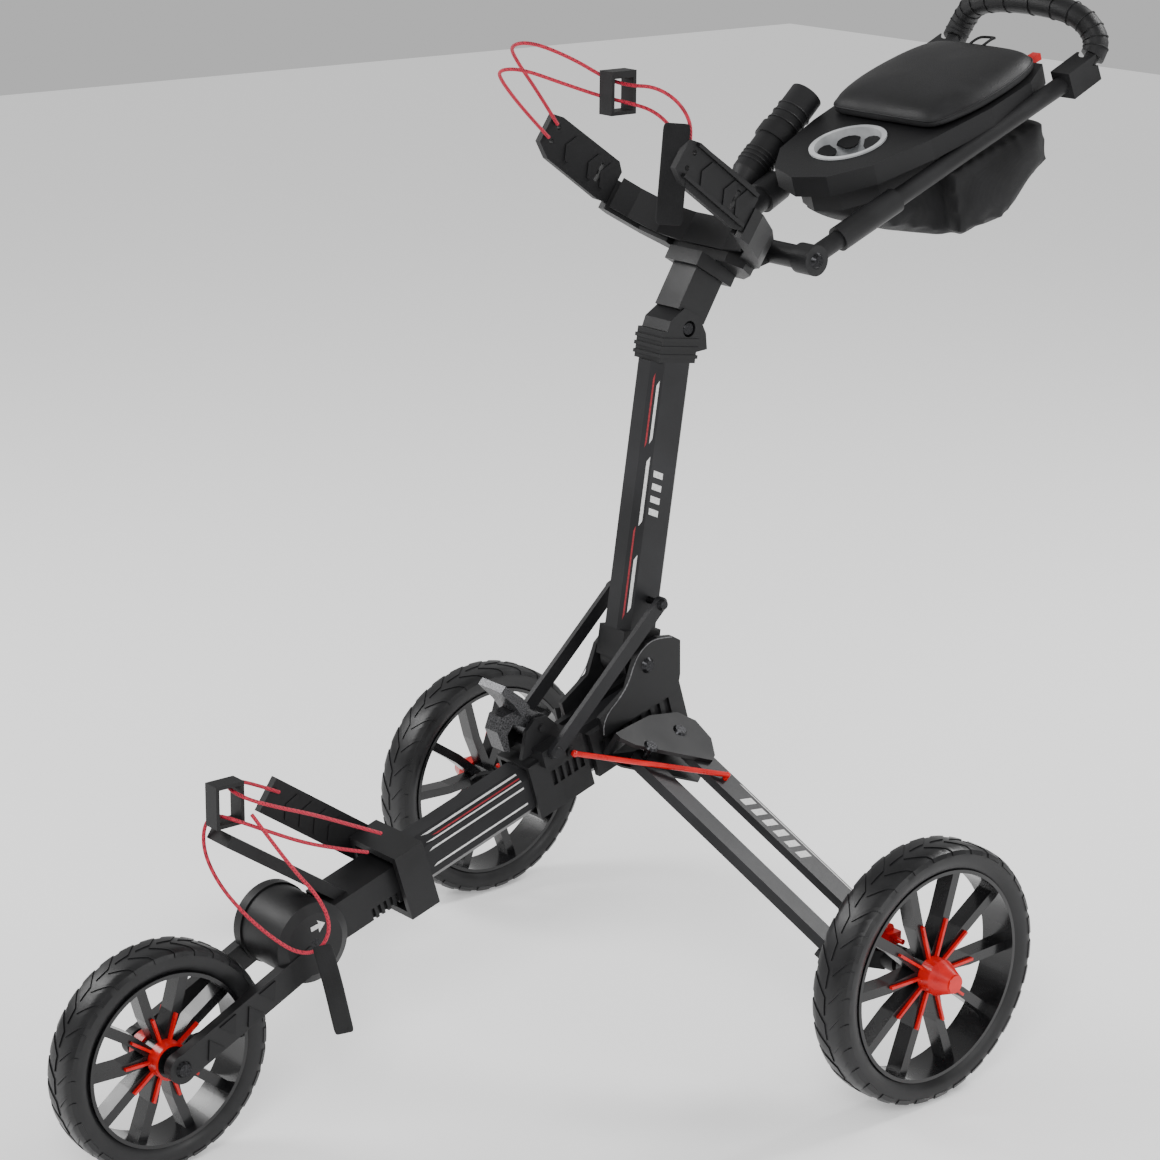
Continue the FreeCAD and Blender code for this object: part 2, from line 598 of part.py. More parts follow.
def wheel_brackets():
    """Clevis plates round the outer ends of the two bars, and the boss of the wheel's axle."""
    long = SIZE["leg_long"]
    gap = SIZE["leg_bolt_gap"]
    under_level = FRONT_BAR_UP - SIZE["leg_front_thick"] / 2 - 0.4
    outline = [(-14, 12), (4, 18), (22, 14), (30, -2), (30, -gap + 2), (16, -gap - 13),
               (-6, -gap - 13)]
    low = prism([leg_point(long + out, back, under_level - 9) for out, back in outline],
                LEG_UP * 9)
    wall = prism([leg_point(long + 18, 14, under_level - 4),
                  leg_point(long + 30, -2, under_level - 4),
                  leg_point(long + 30, -gap + 2, under_level - 4),
                  leg_point(long + 18, -gap - 13, under_level - 4)],
                 LEG_UP * (REAR_BAR_UP + SIZE["leg_rear_thick"] / 2 - under_level + 6))
    top_level = REAR_BAR_UP + SIZE["leg_rear_thick"] / 2 + 0.4
    top = prism([leg_point(long + out, back, top_level) for out, back in outline], LEG_UP * 3)
    axle_root = REAR_AXLE + Vector(HALF_TRACK - SIZE["hub_width"] / 2 - 8, 0, 0)
    inner = axle_root - Vector(34, 0, 0)
    boss = cylinder(inner, axle_root, 15)
    strut = bar(leg_point(long + 16, -gap / 2, under_level), inner + Vector(10, 0, 0),
                Vector(0, 1, 0), 30, 22)
    shape = low.multiFuse([wall, top, boss, strut])
    for back, level in ((0, REAR_BAR_UP), (-gap, FRONT_BAR_UP)):
        half = LEG_UP * 60
        place = leg_point(long, back, level)
        shape = shape.cut(cylinder(place - half, place + half, SIZE["leg_bolt_radius"]))
    room = bar(leg_point(long - 60, 0, REAR_BAR_UP), leg_point(long + 17.5, 0, REAR_BAR_UP),
               LEG_BACK, 44, SIZE["leg_rear_thick"] + 0.8)
    shape = shape.cut(room)
    axle_hole = cylinder(axle_root - Vector(30, 0, 0), axle_root + Vector(10, 0, 0),
                         SIZE["axle_radius"])
    shape = shape.cut(axle_hole)
    for back in (0, -gap):
        rivet = bolt(leg_point(long, back, under_level - 9), leg_point(long, back, top_level + 3),
                     SIZE["leg_bolt_radius"], 7, 2)
        shape = shape.fuse(rivet)
    shape = shape.cut(brake_room())
    node = document.addObject("Part::Feature", "wheel_bracket_right")
    node.Shape = Part.makeCompound([shape.removeSplitter(), rear_axle()])
    keep(node, "wheel_bracket_right")
    node = document.addObject("Part::Feature", "wheel_bracket_left")
    node.Shape = Part.makeCompound([mirrored(shape.removeSplitter()), mirrored(rear_axle())])
    keep(node, "wheel_bracket_left")


def rear_axle():
    """Axle pressed into the bracket's boss, with the thrust washer at the wheel's hub."""
    root = REAR_AXLE + Vector(HALF_TRACK - SIZE["hub_width"] / 2 - 8 - 30, 0, 0)
    tip = REAR_AXLE + Vector(HALF_TRACK + SIZE["hub_width"] / 2 + 4, 0, 0)
    washer_at = REAR_AXLE + Vector(HALF_TRACK - SIZE["hub_width"] / 2 - 0.3, 0, 0)
    shape = cylinder(root, tip, SIZE["axle_radius"])
    washer = cylinder(washer_at - Vector(3, 0, 0), washer_at, 10)
    return shape.fuse(washer).removeSplitter()


BRAKE_AT = REAR_AXLE + Vector(HALF_TRACK - SIZE["hub_width"] / 2 - 31, -2, 23)
BRAKE_TRAVEL = 3.0


def brake_room():
    """Space in the bracket that the brake block slides through."""
    gap = SIZE["seat_gap"]
    return Part.makeBox(20 + BRAKE_TRAVEL + 20 + gap, 18 + 2 * gap, 30,
                        BRAKE_AT - Vector(6 + gap, 9 + gap, 7 + gap))


def brake_parts():
    """Red brake block and pin beside the wheel's hub, sliding along the axle."""
    block = Part.makeBox(20, 18, 14, BRAKE_AT - Vector(6, 9, 7))
    pin = cylinder(BRAKE_AT + Vector(14, 0, 0), BRAKE_AT + Vector(26, 0, 0), 3)
    ear = cylinder(BRAKE_AT + Vector(0, -2, 10), BRAKE_AT + Vector(8, -2, 10), 6)
    pair("brake_block", block.multiFuse([pin, ear]))


# ---- collar, links and rods -------------------------------------------------------------
def comb_slots(start, count, pitch, level, half_high, x_face):
    """Upright slots along both flanks, the comb pattern of the castings."""
    slots = []
    for index in range(count):
        spot = start + TUBE_DIR * (pitch * index) + TUBE_UP * level
        for side in (-1, 1):
            middle = spot + Vector(side * x_face, 0, 0)
            slots.append(bar(middle - TUBE_UP * half_high, middle + TUBE_UP * half_high,
                             TUBE_DIR, pitch * 0.58, 8))
    return Part.makeCompound(slots)


def collar():
    """Slider round the lower tube, with bosses for the links and forked ears for the rods."""
    wide = SIZE["tube_wide"] / 2 + SIZE["seat_gap"]
    high = SIZE["tube_high"] / 2 + SIZE["seat_gap"]
    start = COLLAR_AT - TUBE_DIR * 22
    end = COLLAR_AT + TUBE_DIR * 57
    shell = bar(start, end, TUBE_UP, 2 * high + 8, 2 * wide + 10)
    cheek = bar(LINK_LOW - TUBE_UP * 14, LINK_LOW + TUBE_UP * 6.5, TUBE_DIR, 30,
                2 * (LINK_X - SIZE["seat_gap"]))
    pieces = [shell, cheek]
    for side in (-1, 1):
        lug_end = mirrored_point(ROD_START - Vector(ROD_BALL + SIZE["seat_gap"], 0, 0), side)
        pieces.append(cylinder(Vector(side * wide, lug_end.y, lug_end.z), lug_end, 6))
    shape = pieces[0].multiFuse(pieces[1:])
    room = bar(start - TUBE_DIR * 60, end + TUBE_DIR * 60, TUBE_UP, 2 * high, 2 * wide)
    slots = comb_slots(COLLAR_AT + TUBE_DIR * 8, 5, 10, 4, 9, wide + 5)
    shape = shape.cut(room).cut(slots)
    feature(shape, "slide_collar")
    return shape


def side_links():
    low = LINK_LOW + Vector(LINK_X + SIZE["link_thick"] / 2, 0, 0)
    top = LINK_TOP + Vector(LINK_X + SIZE["link_thick"] / 2, 0, 0)
    half = Vector(SIZE["link_thick"] / 2, 0, 0)
    shape = bar(low, top, Vector(0, 1, 0), SIZE["link_wide"], SIZE["link_thick"])
    ends = [cylinder(place - half, place + half, SIZE["link_wide"] / 2) for place in (low, top)]
    shape = shape.multiFuse(ends)
    shape = shape.cut(cylinder(top - half * 3, top + half * 3, 4 + SIZE["running_gap"]))
    knob = Part.makeCone(6.5, 5, 3, low + half, Vector(1, 0, 0))
    both("side_links", shape.fuse(knob))


def link_bolt():
    """Bolt through the post and both links' upper ends, with a coned head at each end."""
    reach = LINK_X + SIZE["link_thick"]
    shape = cylinder(LINK_TOP - Vector(reach + 1, 0, 0), LINK_TOP + Vector(reach + 1, 0, 0), 4)
    for side in (-1, 1):
        head = Part.makeCone(7, 5, 4, LINK_TOP + Vector(side * (reach + 0.3), 0, 0),
                             Vector(side, 0, 0))
        shape = shape.fuse(head)
    return shape


def fold_rods():
    """Red rods from the collar's lugs to the rear leg bars, with a hook through each bar."""
    top = REAR_BAR_UP + SIZE["leg_rear_thick"] / 2
    over = leg_point(ROD_OUT, 0, top + SIZE["rod_radius"] + 3.6)
    shape = cylinder(ROD_START, over, SIZE["rod_radius"])
    hook = cylinder(over, leg_point(ROD_OUT, 0, top - SIZE["leg_rear_thick"] - 3),
                    SIZE["rod_radius"])
    balls = [Part.makeSphere(ROD_BALL, ROD_START), Part.makeSphere(SIZE["rod_radius"] + 0.4, over)]
    pair("fold_rod", shape.multiFuse(balls + [hook]))


def latch(collar_shape):
    """Silver claw lever over the collar, and the knob that locks it."""
    at = Vector(0, -236, 372)
    body_shape = Part.makeCylinder(15, 26, at - Vector(13, 0, 0), Vector(1, 0, 0))
    claw = side_plate_shape([(-240, 384), (-262, 396), (-284, 392), (-290, 376), (-280, 352),
                             (-272, 350), (-276, 370), (-268, 380), (-242, 370)], -11, 11)
    handle_bar = side_plate_shape([(-262, 390), (-272, 404), (-292, 424), (-286, 430),
                                   (-262, 412), (-252, 400)], -20, 20)
    shape = body_shape.multiFuse([claw, handle_bar])
    shape = shape.cut(cylinder(at - Vector(30, 0, 0), at + Vector(30, 0, 0), 4.08))
    feature(shape, "latch_lever")
    cheeks = []
    for side in (-1, 1):
        cheek = side_plate_shape([(-262, 340), (-256, 372), (-244, 384), (-228, 384),
                                  (-214, 372), (-206, 356)], 14, 19)
        cheeks.append(cheek if side > 0 else mirrored(cheek))
    pin = cylinder(at - Vector(22, 0, 0), at + Vector(22, 0, 0), 4)
    feature(cheeks[0].multiFuse([cheeks[1], pin]).cut(collar_shape), "latch_yoke")


# ---- post, elbow, neck and cradle -------------------------------------------------------
def post():
    start = FOLD_PIN + POST_DIR * 36
    tube = drawn_tube("post_tube", "post_wide", "post_deep", "post_long", start,
               Rotation(Vector(1, 0, 0), -SIZE["post_lean"]))
    offset = LINK_TOP - start
    hole = circle_sketch(tube, "post_tube_bolt_hole", "YZ_Plane",
                         offset.y * POST_DIR.z - offset.z * POST_DIR.y, offset.dot(POST_DIR),
                         "Sizes.leg_bolt_radius + Sizes.running_gap")
    pocket(tube, hole)
    wide = SIZE["post_wide"] / 2
    foot = bar(FOLD_PIN + POST_DIR * 2, FOLD_PIN + POST_DIR * 36, POST_FRONT,
               SIZE["post_deep"] - 4, SIZE["post_wide"])
    heel = cylinder(FOLD_PIN - Vector(wide, 0, 0), FOLD_PIN + Vector(wide, 0, 0), 20)
    plug = bar(FOLD_PIN + POST_DIR * 34, FOLD_PIN + POST_DIR * 66, POST_FRONT,
               SIZE["post_deep"] - 2 * SIZE["tube_wall"] - 14, SIZE["post_wide"] - 16)
    shape = foot.multiFuse([heel, plug])
    hole = cylinder(FOLD_PIN - Vector(60, 0, 0), FOLD_PIN + Vector(60, 0, 0),
                    SIZE["fold_pin_radius"] + SIZE["running_gap"])
    feature(shape.cut(hole), "post_foot")


def elbow():
    """Casting on the post's top: rib bands, a cheek with the big oval bolt hole."""
    base = FOLD_PIN + POST_DIR * (36 + SIZE["post_long"])
    wide = SIZE["post_wide"]
    deep = SIZE["post_deep"] - 6
    sleeve = bar(base, base + POST_DIR * 34, POST_FRONT, deep, wide)
    plug = bar(base - POST_DIR * 24, base + POST_DIR * 2, POST_FRONT,
               SIZE["post_deep"] - 2 * SIZE["tube_wall"] - 14, SIZE["post_wide"] - 16)
    ribs = [bar(base + POST_DIR * (5 + 9 * index), base + POST_DIR * (9 + 9 * index), POST_FRONT,
                deep + 4, wide + 2) for index in range(3)]
    cheek = side_plate_shape([(-64, 758), (-68, 780), (-60, 800), (-40, 812), (-18, 800),
                              (-8, 780), (-6, 762)], -wide / 2, wide / 2)
    shape = sleeve.multiFuse([plug, cheek] + ribs)
    hole = cylinder(Vector(wide / 2 - 6, -33, 788), Vector(60, -33, 788), 9)
    feature(shape.cut(hole), "post_elbow")
    screw = bolt(Vector(wide / 2 - 6, -33, 788), Vector(wide / 2 - 3, -33, 788), 6, 8.5, 2)
    obj = document.addObject("Part::Feature", "post_bolts")
    obj.Shape = Part.makeCompound([screw, link_bolt()])
    keep(obj, "post_bolts")


def neck():
    start = NECK_LOW
    end = start + NECK_DIR * 62
    tube = bar(start, end, Vector(0, 1, 0), 44, 38)
    low_collar = bar(end - NECK_DIR * 12, end + NECK_DIR * 4, Vector(0, 1, 0), 60, 52)
    cheek_room = side_plate_shape([(-64, 758), (-68, 780), (-60, 800), (-40, 812), (-18, 800),
                                   (-8, 780), (-6, 762)], -60, 60)
    feature(tube.fuse(low_collar).cut(cheek_room), "neck_tube")


def cradle_point(across, forward, up):
    return CRADLE_AT + Vector(across, 0, 0) + CRADLE_FORWARD * forward + CRADLE_UP * up


def cradle_block(grow):
    """Base block of the cradle, or with grow the room that it needs."""
    outline = [(-34, -26), (-58, -10), (-62, 8), (-40, 18), (40, 18), (62, 8), (58, -10), (34, -26)]
    corners = [cradle_point(x * (1 + grow / 30), w * (1 + grow / 18) - 14, -8 - grow)
               for x, w in outline]
    return prism(corners, CRADLE_UP * (40 + 2 * grow))


def cradle():
    """Base block on the neck, and two arms that carry the paddles."""
    block = cradle_block(0)
    collar_end = NECK_LOW + NECK_DIR * 66
    neck_room = bar(NECK_LOW, collar_end + NECK_DIR * 0.2, Vector(0, 1, 0), 62, 54)
    half = SIZE["cradle_width"] / 2
    arm = [(60, -22), (60, 4), (86, 26), (half - 10, 66.7), (half, 66.7), (half, 52), (96, 12),
           (74, -16)]
    arm_shape = prism([cradle_point(x, w, 0) for x, w in arm], CRADLE_UP * 36)
    feature(block.multiFuse([arm_shape, mirrored(arm_shape)]).cut(neck_room), "cradle_base")


def paddles():
    """Stiff paddles with ribs, a cord slot and two cord holes near the tip."""
    half = SIZE["cradle_width"] / 2
    low = 8.0
    high = SIZE["paddle_high"]
    long = SIZE["paddle_long"]
    side = [(67, low), (67 + 14, low - 4), (67 + long - 20, low - 2), (67 + long, low + 8),
            (67 + long, low + high - 4), (67 + long - 14, low + high), (67 + 10, low + high),
            (67, low + high - 8)]
    plate = prism([cradle_point(half - 10, w, v) for w, v in side], Vector(8, 0, 0))
    rails = []
    for v_low, v_high in ((low + 2, low + 6), (low + high - 8, low + high - 4)):
        corners = [(72, v_low), (67 + long - 12, v_low + 3), (67 + long - 12, v_high + 3),
                   (72, v_high)]
        rails.append(prism([cradle_point(half - 2.5, w, v) for w, v in corners], Vector(5, 0, 0)))
    shape = plate.multiFuse(rails)
    slot = bar(cradle_point(half - 20, 96, low + high / 2 - 12),
               cradle_point(half - 20, 96, low + high / 2 + 10), CRADLE_FORWARD, 6, 60)
    shape = shape.cut(slot)
    for w, v in ((67 + long - 14, low + high - 12), (67 + long - 14, low + 16)):
        hole = cylinder(cradle_point(half - 30, w, v), cradle_point(half + 30, w, v),
                        SIZE["cord_radius"] + 1)
        shape = shape.cut(hole)
    both("cradle_paddles", shape)


def cradle_strap():
    """Flexible band across the cradle, resting on the base block."""
    half = SIZE["cradle_width"] / 2 - 14
    outer = [(-half, 64), (-half + 10, 42), (-69, 14), (-34, 4.3), (34, 4.3), (69, 14),
             (half - 10, 42), (half, 64)]
    inner = [(x * 0.965, w + 3.5) for x, w in reversed(outer)]
    band = prism([cradle_point(x, w, 4) for x, w in outer + inner], CRADLE_UP * 36)
    feature(band, "cradle_strap")


# ---- handle, console and bag ------------------------------------------------------------
def handle_yoke():
    """Bracket from the cradle base back to the handle joint, with a cross tube."""
    pin = HANDLE_PIVOT
    cross = cylinder(pin - Vector(66, 0, 0), pin + Vector(66, 0, 0), 13)
    web = prism([Vector(-24, 30, 862), Vector(-24, 34, 838), Vector(-24, 84, 849),
                 Vector(-24, 92, 868), Vector(-24, 60, 884), Vector(-24, 32, 886)],
                Vector(48, 0, 0))
    shape = cross.fuse(web.cut(cradle_block(0.1)))
    bore = cylinder(pin - Vector(80, 0, 0), pin + Vector(80, 0, 0), 5 + SIZE["running_gap"])
    feature(shape.cut(bore), "handle_yoke")
    reach = 92
    shaft = cylinder(pin - Vector(reach, 0, 0), pin + Vector(reach, 0, 0), 5)
    heads = [Part.makeCone(9, 6, 4, pin + Vector(side * reach, 0, 0), Vector(side, 0, 0))
             for side in (-1, 1)]
    feature(shaft.multiFuse(heads), "handle_pin")


SLEEVE_RADIUS = SIZE["handle_tube_radius"] + 4


def arm_point(side, share):
    """A point on the side tube's centre line, by its share of the way to the grip."""
    start = HANDLE_PIVOT + Vector(side * 80, 0, 0)
    end = HANDLE_END + Vector(side * SIZE["grip_half_width"], 0, 0)
    return start + (end - start) * share


def arm_room(side):
    """Room for the side tube and its sleeve, with the seat clearance."""
    gap = SIZE["seat_gap"]
    tube = cylinder(arm_point(side, 0), arm_point(side, 0.97), SIZE["handle_tube_radius"] + gap)
    return tube.fuse(cylinder(arm_point(side, 0.02), arm_point(side, 0.31), SLEEVE_RADIUS + gap))


def handle_arms():
    """Side tubes with a knuckle at the joint; they spread towards the grip."""
    pin = HANDLE_PIVOT
    start = pin + Vector(80, 0, 0)
    knuckle = cylinder(start - Vector(13, 0, 0), start + Vector(12, 0, 0), 17)
    end = pin + HANDLE_DIR * SIZE["handle_reach"] + Vector(SIZE["grip_half_width"], 0, 0)
    tube = cylinder(start + (end - start) * 0.02, arm_point(1, 1 - 14 / SIZE["handle_reach"]),
                    SIZE["handle_tube_radius"])
    clamp_low = start + (end - start) * 0.10
    sleeve = cylinder(clamp_low, start + (end - start) * 0.30, SLEEVE_RADIUS)
    shape = knuckle.multiFuse([tube, sleeve])
    hole = cylinder(start - Vector(30, 0, 0), start + Vector(30, 0, 0), 5 + SIZE["running_gap"])
    both("handle_arms", shape.cut(hole))


def grip():
    """Loop core with the two knuckle blocks that clamp it to the side tubes, and its cover."""
    blocks = []
    for side in (-1, 1):
        at = HANDLE_END + Vector(side * SIZE["grip_half_width"], 0, 0)
        block = bar(at - HANDLE_DIR * 40, at + HANDLE_DIR * 8, Vector(0, 0, 1), 32, 28)
        room = cylinder(arm_point(side, 0.8), arm_point(side, 1 - 13.8 / SIZE["handle_reach"]),
                        SIZE["handle_tube_radius"] + SIZE["running_gap"])
        blocks.append(block.cut(room))
    feature(GRIP_CORE.multiFuse(blocks).cut(GRIP_COVER), "handle_loop")
    feature(GRIP_COVER, "grip_cover")


def console_outline(inset):
    half = SIZE["console_half_width"] - inset
    long = SIZE["console_long"] - inset
    return [(0, inset * 1.4), (half * 0.40, 14 + inset), (half * 0.72, 56 + inset * 0.6),
            (half * 0.90, 130), (half, 220), (half * 0.96, 292), (half * 0.74, long)]


def full_outline(inset):
    right = console_outline(inset)
    return right + [(-x, y) for x, y in reversed(right[1:])]


LEVER_X = 43.0


def console():
    """Tray with a pointed nose, a cup holder ring and an open well under the lid."""
    wall = SIZE["console_wall"]
    outer = [Vector(x, y, 0) for x, y in full_outline(0)]
    shell = prism([point - Vector(0, 0, 6) for point in outer], Vector(0, 0, 24))
    lower = prism([Vector(x * 0.76, y * 0.9 + 22, -34) for x, y in full_outline(0)],
                  Vector(0, 0, 30))
    shape = shell.fuse(lower)
    well = prism([Vector(x * 0.80, max(y, 158) * 0.96 + 4, -30) for x, y in full_outline(8)],
                 Vector(0, 0, 80))
    cup = Part.makeCylinder(42, 90, Vector(0, 92, -30))
    shape = shape.cut(well).cut(cup)
    shelf = Part.makeBox(24, 22, 9.7, Vector(LEVER_X - 12, SIZE["console_long"] - 4, -2))
    shape = shape.fuse(shelf)
    to_console = Placement(CONSOLE_NOSE, CONSOLE_TURN).inverse()
    for side in (-1, 1):
        room = arm_room(side)
        room.transformShape(to_console.toMatrix())
        shape = shape.cut(room)
    solids = sorted(shape.Solids, key=lambda solid: solid.Volume)
    obj = document.addObject("Part::Feature", "console_tray")
    obj.Shape = solids[-1].removeSplitter()
    keep(obj, "console_tray", CONSOLE_NOSE, CONSOLE_TURN)


def cup_ring():
    """Light grey liner of the cup holder, with a floor of soft star petals."""
    ring = Part.makeCylinder(41.7, 46, Vector(0, 92, -29.7))
    ring = ring.cut(Part.makeCylinder(39, 60, Vector(0, 92, -27)))
    lip = Part.makeCylinder(45, 2, Vector(0, 92, 18.2)).cut(
        Part.makeCylinder(39, 6, Vector(0, 92, 16)))
    neck_ring = Part.makeCylinder(41.7, 3, Vector(0, 92, 16)).cut(
        Part.makeCylinder(39, 6, Vector(0, 92, 15)))
    obj = document.addObject("Part::Feature", "cup_liner")
    obj.Shape = ring.multiFuse([lip, neck_ring]).removeSplitter()
    keep(obj, "cup_liner", CONSOLE_NOSE, CONSOLE_TURN)


def console_lid():
    """Domed padded lid, hinged at its front edge behind the cup holder."""
    long = SIZE["console_long"]
    half = SIZE["console_half_width"]
    base = [(-half * 0.80, 146), (half * 0.80, 146), (half * 0.97, 220), (half * 0.93, 290),
            (half * 0.70, long - 4), (-half * 0.70, long - 4), (-half * 0.93, 290),
            (-half * 0.97, 220)]
    low = Part.makePolygon([Vector(x, y, 18.4) for x, y in base + [base[0]]])
    mid = Part.makePolygon([Vector(x * 0.93, 240 + (y - 240) * 0.95, 34) for x, y in
                            base + [base[0]]])
    top = Part.makePolygon([Vector(x * 0.62, 240 + (y - 240) * 0.74, 46) for x, y in
                            base + [base[0]]])
    shape = Part.makeLoft([low, mid, top], True, True)
    obj = document.addObject("Part::Feature", "console_lid")
    obj.Shape = shape
    keep(obj, "console_lid", CONSOLE_NOSE, CONSOLE_TURN)


def storage_bag():
    """Soft bag that hangs under the console."""
    front = [(60, -34.3), (52, -60), (150, -112), (230, -122), (230, -34.3)]
    rear = [(156, -34.3), (150, -112), (230, -122), (312, -84), (318, -34.3)]
    shape = prism([Vector(-66, y, z) for y, z in front], Vector(132, 0, 0))
    shape = shape.fuse(prism([Vector(-96, y, z) for y, z in rear], Vector(192, 0, 0)))
    obj = document.addObject("Part::Feature", "storage_bag")
    obj.Shape = shape
    keep(obj, "storage_bag", CONSOLE_NOSE, CONSOLE_TURN)


def umbrella_holder():
    """Tube with a collar band on the console's left front flank."""
    low = Vector(-118, 178, 918)
    top = Vector(-118, 268, 1002)
    along = (top - low).normalize()
    shape = cylinder(low, top, 20).fuse(cylinder(low + along * 50, low + along * 66, 23))
    shape = shape.fuse(Part.makeCone(20, 14, 14, low, along * -1))
    clamp = cylinder(arm_point(-1, 0.20), arm_point(-1, 0.27), SLEEVE_RADIUS + 4)
    shape = shape.fuse(clamp.cut(arm_room(-1)))
    feature(shape.cut(cylinder(low + along * 4, top + along * 4, 16)), "umbrella_holder")


def brake_lever():
    """Red thumb lever that turns on a shelf at the console's rear edge."""
    obj = document.addObject("Part::Feature", "brake_lever")
    at = Vector(LEVER_X, SIZE["console_long"] + 8 + SIZE["seat_gap"], 8)
    hub = Part.makeCylinder(8, 8, at)
    thumb = Part.makeBox(12, 20, 8, at + Vector(-6, 0, 0))
    obj.Shape = hub.fuse(thumb).removeSplitter()
    keep(obj, "brake_lever", CONSOLE_NOSE, CONSOLE_TURN)


# ---- lower bag bracket and front fork ---------------------------------------------------
def lower_bracket():
    """Open frame clamped on the tube's front end, with the far arm's root."""
    at = TUBE_START - TUBE_DIR * 2
    wide = 2 * PLATE_X + 22
    frame = bar(at - TUBE_DIR * 22, at + TUBE_DIR * 16, TUBE_UP, 78, wide)
    room = bar(at + TUBE_DIR * 0, at + TUBE_DIR * 60, TUBE_UP, SIZE["tube_high"] + 0.4,
               SIZE["tube_wide"] + 0.4)
    window = bar(at - TUBE_DIR * 40, at - TUBE_DIR * 6, TUBE_UP, 62, wide - 14)
    feature(frame.cut(room).cut(window), "lower_bracket")
    neck_start = at - TUBE_DIR * 6.2
    block = bar(neck_start, neck_start - TUBE_DIR * 92, TUBE_UP, 44, 52)
    drum_room = cylinder(FORK_AT - Vector(60, 0, 0), FORK_AT + Vector(60, 0, 0),
                         SIZE["fork_drum_radius"] - 1)
    combs = []
    for index in range(6):
        spot = neck_start - TUBE_DIR * (10 + 8 * index) - TUBE_UP * 14
        for side in (-1, 1):
            middle = spot + Vector(side * 26, 0, 0)
            combs.append(bar(middle - TUBE_UP * 9, middle + TUBE_UP * 5, TUBE_DIR, 4, 8))
    drum = cylinder(FORK_AT - Vector(SIZE["fork_drum_wide"] / 2, 0, 0),
                    FORK_AT + Vector(SIZE["fork_drum_wide"] / 2, 0, 0),
                    SIZE["fork_drum_radius"])
    pin_hole = cylinder(FORK_AT - Vector(80, 0, 0), FORK_AT + Vector(80, 0, 0), 6.08)
    shape = block.cut(drum_room).cut(Part.makeCompound(combs)).fuse(drum).cut(pin_hole)
    feature(shape, "fork_drum")
    return shape


def bag_rest():
    """Straight ledge under the bag's base, rising forward from the drum's neck."""
    start = Vector(0, -486, 232)
    end = start + CRADLE_FORWARD * 188
    feature(bar(start, end, Vector(1, 0, 0), 36, 13).cut(DRUM_SHAPE), "bag_rest")


def lower_arm():
    """Left bag arm: a ribbed paddle on the bracket's far side."""
    base = Vector(-PLATE_X - 16, -424, 262)
    tip = base + CRADLE_FORWARD * 156
    plate = bar(base, tip, CRADLE_UP, 40, 9)
    feature(plate, "lower_arm")


def fork():
    """Two discs beside the drum, each with an arm down to the front axle."""
    half = SIZE["fork_drum_wide"] / 2 + SIZE["seat_gap"]
    disc = cylinder(FORK_AT + Vector(half, 0, 0), FORK_AT + Vector(half + 12, 0, 0),
                    SIZE["fork_drum_radius"] + 2)
    face = Part.makeCone(SIZE["fork_drum_radius"] + 2, SIZE["fork_drum_radius"] - 8, 5,
                         FORK_AT + Vector(half + 12, 0, 0), Vector(1, 0, 0))
    arm_x = half + 12
    arm = bar(FORK_AT + Vector(arm_x, 0, -14), FRONT_AXLE + Vector(arm_x, 0, 0),
              Vector(0, 0, 1), SIZE["fork_arm_wide"], SIZE["fork_arm_thick"])
    boss = cylinder(FRONT_AXLE + Vector(arm_x - 6, 0, 0), FRONT_AXLE + Vector(arm_x + 6, 0, 0), 16)
    shape = disc.multiFuse([face, arm, boss])
    shape = shape.cut(cylinder(FORK_AT, FORK_AT + Vector(80, 0, 0), 6))
    shape = shape.cut(cylinder(FRONT_AXLE, FRONT_AXLE + Vector(80, 0, 0), SIZE["axle_radius"]))
    both("fork_arms", shape)
    reach = half + 17
    feature(cylinder(FORK_AT - Vector(reach, 0, 0), FORK_AT + Vector(reach, 0, 0), 6), "fork_axle")
    axle_reach = arm_x + 6
    shape = cylinder(FRONT_AXLE - Vector(axle_reach, 0, 0),
                     FRONT_AXLE + Vector(axle_reach, 0, 0), SIZE["axle_radius"])
    for side in (-1, 1):
        shape = shape.fuse(Part.makeCone(9, 7, 4, FRONT_AXLE + Vector(side * axle_reach, 0, 0),
                                         Vector(side, 0, 0)))
    feature(shape, "front_axle")


# ---- bungee cords -----------------------------------------------------------------------
# Each cord's control points, chosen by hand along its lie.
UPPER_CORD_HIGH = [(-103.7, -118, 1003), (-100, -149, 1041), (-97, -182, 1078), (-86, -199, 1096),
                   (-60, -190, 1101), (-34, -156, 1084), (-12, -126, 1062), (16, -119, 1058),
                   (45, -112, 1060), (70, -104, 1050), (88, -100, 1032), (98, -105, 1014),
                   (103.7, -114, 1001)]
UPPER_CORD_LOW = [(-103.7, -130, 990), (-102, -165, 1021), (-98, -200, 1056), (-86, -215, 1071),
                  (-60, -204, 1074), (-36, -166, 1058), (-14, -128, 1043), (14, -115, 1039),
                  (42, -108, 1034), (68, -106, 1020), (88, -113, 1004), (103.7, -126, 992)]
LOWER_CORD_SHORT = [(-38, -541, 352), (-37, -577, 371), (-26, -610, 385), (-4, -628, 387),
                    (20, -620, 380), (27, -588, 366), (26, -543, 347), (23, -498, 325),
                    (19, -452, 302)]
LOWER_CORD_LONG = [(17, -468, 284), (18, -510, 299), (20, -553, 317), (21, -596, 340),
                   (14, -628, 357), (-8, -640, 360), (-22, -645, 346), (-16, -650, 320),
                   (6, -648, 292), (30, -635, 264), (48, -612, 236), (62, -588, 216),
                   (75, -570, 220), (77, -558, 243), (67, -564, 272), (49, -586, 306),
                   (33, -604, 340), (24, -617, 364)]


